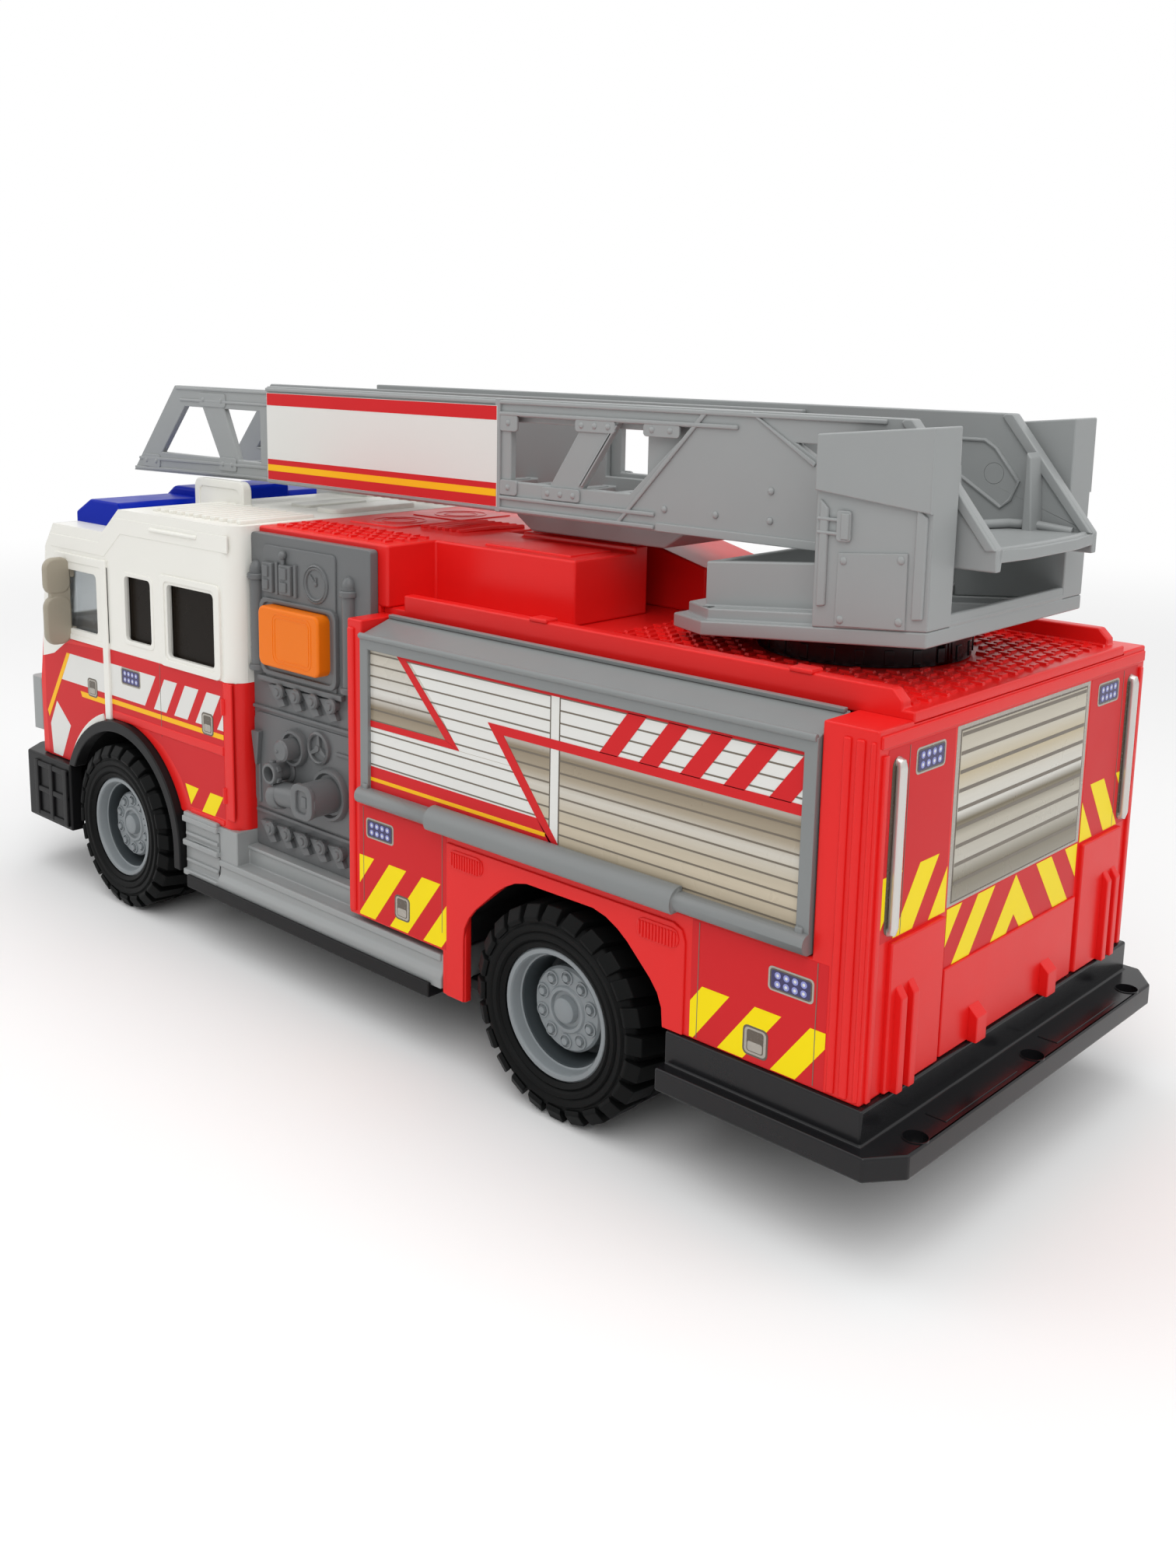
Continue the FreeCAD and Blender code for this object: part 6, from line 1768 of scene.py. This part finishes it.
@dataclass
class LadderBase:
    """Grey base ladder: trussed rails with gussets and rivets, rungs, tray and signs."""

    face: float = 24.0
    low: float = 143.3
    high: float = 174.4
    front: float = 168.0

    def build(self) -> None:
        """Build the ladder with its relief, treads and hoses, the keel and the signs."""
        shape = Shape.eased("ladder_base", 0.35, shortest=1.2)
        side = Shape()
        self.rails(side)
        self.gussets(side)
        shape.also(side.both_sides())
        for number in range(13):
            spot = -40.0 + 16.0 * number
            shape.box((spot + 0.7, spot + 4.3), (-20.0, 20.0), (145.3, 145.8), 0.2)
        shape.tube([(-60.8, 21.0, 148.2), (-62.6, 6.0, 148.5), (-65.0, -10.0, 148.8),
                    (-69.0, -17.0, 149.0), (-75.0, -20.0, 148.8), (-83.0, -21.0, 147.9)], 1.1, 12)
        shape.tube([(-85.8, 20.8, 147.4), (-87.4, 10.8, 147.6), (-87.6, 0.0, 147.6),
                    (-87.4, -10.8, 147.6), (-85.8, -20.8, 147.4)], 0.9, 12)
        shape.stand_for("ladder_base", GREY)
        soften("ladder_keel", GREY, 0.6, 1.0)
        self.signs()

    def rails(self, side: Shape) -> None:
        """Add the ridges along both chords and on the struts.

        Args:
            side: The left rail's relief.
        """
        face, front = self.face, self.front
        for back, start, low in ((-60.0, front, self.high - 1.5), (-20.0, front, self.high - 4.6),
                                 (5.0, front, self.low + 0.4), (5.0, front, self.low + 3.6)):
            side.box((back, start), raised(face, 0.7), (low, low + 1.1), 0.3)
        side.box((60.0, 62.0), raised(face, 0.75), (self.low, self.high), 0.35)
        side.prism("Y", [(17.7, 144.4), (16.3, 144.4), (-11.3, 173.8), (-23.4, 173.8),
                         (-41.7, 162.4), (-42.3, 163.4), (-23.7, 174.3), (-10.1, 174.3)],
                   raised(face, 0.6), 0.25)
        side.prism("Y", [(-87.5, 147.9), (-85.0, 147.6), (-63.4, 173.6), (-64.4, 174.35),
                         (-66.2, 174.35)], (face - 3.0, face + 0.6), 0.4)
        side.prism("Y", [(-75.2, 147.0), (-72.8, 147.0), (-72.8, 166.0), (-74.0, 164.6)],
                   (face - 8.0, face - 2.0), 0.4)
        edge = [(-46.0, 167.8), (-59.3, 167.8), (-62.2, 166.0), (-68.5, 158.4), (-66.6, 154.0),
                (-64.3, 152.0), (-50.0, 160.9)]
        side.tube([(x, face - 2.3, z) for x, z in edge], 0.5, 8)
        for foot, top in ((30.0, 18.1), (29.6, 17.8)):
            side.prism("Y", [(foot, 152.6), (foot + 1.2, 152.6), (top + 1.2, 169.0), (top, 169.0)],
                       raised(face, 0.5), 0.2)
        side.box((-64.0, 4.6), raised(face, 0.4, 0.4), (self.low, self.low + 2.2), 0.3)

    def gussets(self, side: Shape) -> None:
        """Add the riveted plates where struts and chords meet.

        Args:
            side: The left rail's relief.
        """
        face = self.face
        for back, front, low, high in ((18.6, 32.4, 166.8, 170.2), (30.4, 44.2, 148.2, 151.6),
                                       (-2.4, 9.2, 166.8, 170.2), (53.6, 60.4, 148.2, 152.4),
                                       (53.6, 60.4, 165.6, 170.2)):
            side.prism("Y", rounded((back, front), (low, high), 1.0), raised(face, 0.55), 0.2)
            count = max(int((front - back) / 4.4), 1)
            for number in range(count):
                x = back + (number + 0.5) * (front - back) / count
                side.ball((x, face + 0.5, (low + high) / 2), 0.85, (1, 0.55, 1), 10)
        for x, z in ((-30.0, 156.0), (-30.0, 149.0), (-55.0, 150.0), (-72.0, 150.0),
                     (-14.0, 149.0), (2.0, 149.0)):
            side.ball((x, face + 0.1, z), 0.9, (1, 0.6, 1), 10)
        side.lathe([(-0.2, 2.9), (0.55, 3.1), (0.55, 4.6), (-0.2, 4.9)], (-62.0, 160.0), 32,
                   base=face)

    def signs(self) -> None:
        """Build the sign boards and print their bands."""
        panel = Shape.of_node("sign_boards")
        panel.stand_for("sign_boards", PRINT_WHITE, "sign_panels")
        prints = Prints("sign_print", "ladder", Face.SIDE, self.face + 0.8)
        edge = (61.2, 166.8)
        prints.lay(PRINT_RED, rectangle(edge, (168.5, 172.3)))
        prints.lay(PRINT_RED, rectangle(edge, (144.8, 151.3)))
        prints.lay(PRINT_AMBER, rectangle(edge, (147.6, 149.6)), 1)
        prints.finish()


@dataclass
class Fly:
    """Grey sliding front ladder with ribbed rails, bolted struts and rungs."""

    face: float = 21.5
    low: float = 145.8
    high: float = 173.0

    def build(self) -> None:
        """Build the rails' ridges, the struts' plates and the rungs' treads."""
        shape = Shape.eased("ladder_fly", 0.35, shortest=1.2)
        side = Shape()
        for back, front, low in ((170.0, 224.4, self.high - 1.3), (170.0, 222.0, self.high - 5.2)):
            side.box((back, front), raised(self.face, 0.45, 0.4), (low, low + 0.9), 0.25)
        side.prism("Y", [(170.0, 143.9), (252.6, 142.4), (252.6, 143.4), (170.0, 144.9)],
                   raised(self.face, 0.45, 0.4), 0.2)
        side.prism("Y", [(170.0, 147.4), (249.6, 146.0), (249.6, 147.0), (170.0, 148.4)],
                   raised(self.face, 0.45, 0.4), 0.2)
        for back, front, low, high in ((189.0, 199.0, 145.2, 149.8), (194.6, 210.0, 166.4, 171.0),
                                       (236.0, 247.0, 143.6, 148.2)):
            side.prism("Y", rounded((back, front), (low, high), 1.0), raised(self.face, 0.4, 0.4),
                       0.2)
            for x in (back + 2.4, front - 2.4):
                side.ball((x, self.face + 0.3, (low + high) / 2), 0.9, (1, 0.55, 1), 10)
        shape.also(side.both_sides())
        for number in range(15):
            spot = -8.0 + 16.0 * number
            base = (self.low if number < 11 else 143.3) + 2.1
            shape.box((spot + 0.7, spot + 4.3), (-17.0, 17.0), (base, base + 0.4), 0.15)
        shape.stand_for("ladder_fly", GREY)


# ---------------------------------------------------------------- studio

@dataclass
class Studio:
    """Plain pale room: floor, soft lights, white surroundings and the camera.

    Its sizes are metres; only the lens and its sensor are millimetres.
    """

    camera_place: tuple[float, float, float] = (-0.32159, 0.31446, 0.19015)
    right: tuple[float, float, float] = (-0.7156844, -0.6983171, 0.0122078)
    down: tuple[float, float, float] = (-0.1372004, 0.1234312, -0.9828229)
    lens: float = 34.55
    sensor: float = 36.0
    shift: Point = (0.0346, -0.1035)
    paper: tuple[float, float, float, float] = (0.95, 0.95, 0.95, 1)
    floor_reach: float = 12.0
    aim: tuple[float, float, float] = (0.0, 0.0, 0.05)
    fade: Span = (0.35, 1.1)
    surround_light: float = 0.45

    def floor(self) -> None:
        """Build a wide floor that fades into white far out."""
        mesh = bpy.data.meshes.new("floor")
        far = self.floor_reach
        mesh.from_pydata([(-far, -far, 0), (far, -far, 0), (far, far, 0), (-far, far, 0)],
                         [], [(0, 1, 2, 3)])
        made = bpy.data.objects.new("floor", mesh)
        bpy.context.scene.collection.objects.link(made)
        material = bpy.data.materials.new("floor_paper")
        material.use_nodes = True
        tree = material.node_tree
        shader = tree.nodes["Principled BSDF"]
        wire(tree, shader, {"Base Color": self.paper, "Roughness": 0.9,
                            "Specular IOR Level": 0.1})
        place = tree.nodes.new("ShaderNodeTexCoord").outputs["Object"]
        length = add_node(tree, "VectorMath", {0: place}, operation="LENGTH")
        fade = add_node(tree, "MapRange", {
            "Value": length.outputs["Value"], "From Min": self.fade[0],
            "From Max": self.fade[1]}, interpolation_type="SMOOTHSTEP")
        glow = add_node(tree, "Emission", {"Color": WHITE_LIGHT})
        rays = tree.nodes.new("ShaderNodeLightPath")
        seen = add_node(tree, "Math", {0: fade.outputs["Result"],
                                       1: rays.outputs["Is Camera Ray"]}, operation="MULTIPLY")
        mix = add_node(tree, "MixShader", {"Fac": seen.outputs["Value"],
                                           1: shader.outputs["BSDF"],
                                           2: glow.outputs["Emission"]})
        tree.links.new(mix.outputs["Shader"], tree.nodes["Material Output"].inputs["Surface"])
        mesh.materials.append(material)

    def lights(self) -> None:
        """Hang large soft lights over and beside the toy."""
        for name, place, size, power in (
                ("key_light", (-0.55, 0.75, 0.95), 0.9, 5.2),
                ("fill_light", (-0.9, -0.3, 0.8), 1.0, 2.6),
                ("top_light", (0.1, 0.0, 1.2), 1.2, 6.0),
                ("far_light", (0.8, 0.6, 0.6), 0.8, 1.8)):
            lamp = bpy.data.lights.new(name, "AREA")
            lamp.energy = power
            lamp.size = size
            made = bpy.data.objects.new(name, lamp)
            made.location = place
            aim = (Vector(self.aim) - Vector(place)).to_track_quat("-Z", "Y")
            made.rotation_euler = aim.to_euler()
            bpy.context.scene.collection.objects.link(made)

    def world(self) -> None:
        """Make the surroundings white to the eye, in reflections and through panes only."""
        world = bpy.data.worlds.new("surroundings")
        world.use_nodes = True
        tree = world.node_tree
        soft = tree.nodes["Background"]
        wire(tree, soft, {"Color": WHITE_LIGHT, "Strength": self.surround_light})
        white = add_node(tree, "Background", {"Color": WHITE_LIGHT, "Strength": 1.0})
        rays = tree.nodes.new("ShaderNodeLightPath")
        most = rays.outputs["Is Camera Ray"]
        for name in ("Is Glossy Ray", "Is Transmission Ray"):
            larger = add_node(tree, "Math", {0: most, 1: rays.outputs[name]},
                              operation="MAXIMUM")
            most = larger.outputs["Value"]
        mix = add_node(tree, "MixShader", {"Fac": most, 1: soft.outputs["Background"],
                                           2: white.outputs["Background"]})
        tree.links.new(mix.outputs["Shader"], tree.nodes["World Output"].inputs["Surface"])
        bpy.context.scene.world = world

    def camera(self) -> None:
        """Place the camera and make it the scene's."""
        lens = bpy.data.cameras.new("camera")
        lens.sensor_fit = "AUTO"
        lens.sensor_width = self.sensor
        lens.lens = self.lens
        lens.shift_x, lens.shift_y = self.shift
        lens.clip_start = 0.01
        made = bpy.data.objects.new("camera", lens)
        right, down = Vector(self.right), Vector(self.down)
        turn = Matrix((right, -down, -right.cross(down))).transposed()
        made.rotation_euler = turn.to_euler()
        made.location = self.camera_place
        bpy.context.scene.collection.objects.link(made)
        bpy.context.scene.camera = made

    def build(self) -> None:
        """Set the stage."""
        self.floor()
        self.lights()
        self.world()
        self.camera()
        bpy.context.scene.view_settings.view_transform = "Standard"


def main() -> None:
    """Build the fire engine piece by piece, then the room round it."""
    logging.basicConfig(level=logging.INFO, format="%(name)s: %(message)s")
    for end, station in (("rear", 0.0), ("front", 200.0)):
        Wheels(end, station).build()
    soften("rear_axle", STEEL, 0.0)
    soften("front_axle", STEEL, 0.0)
    soften("battery_box", BATTERY, 0.3)
    parts = (Underside(), RearStep(), Bumper(), RunningBoards(), LoadBody(), Deck(),
             HoseBed(), LockerDoor(Side.LEFT), LockerDoor(Side.RIGHT), PumpPanels(), Cab(),
             Turntable(), LadderBase(), Fly())
    for part in parts:
        part.build()
    Studio().build()


if __name__ == "__main__":
    main()
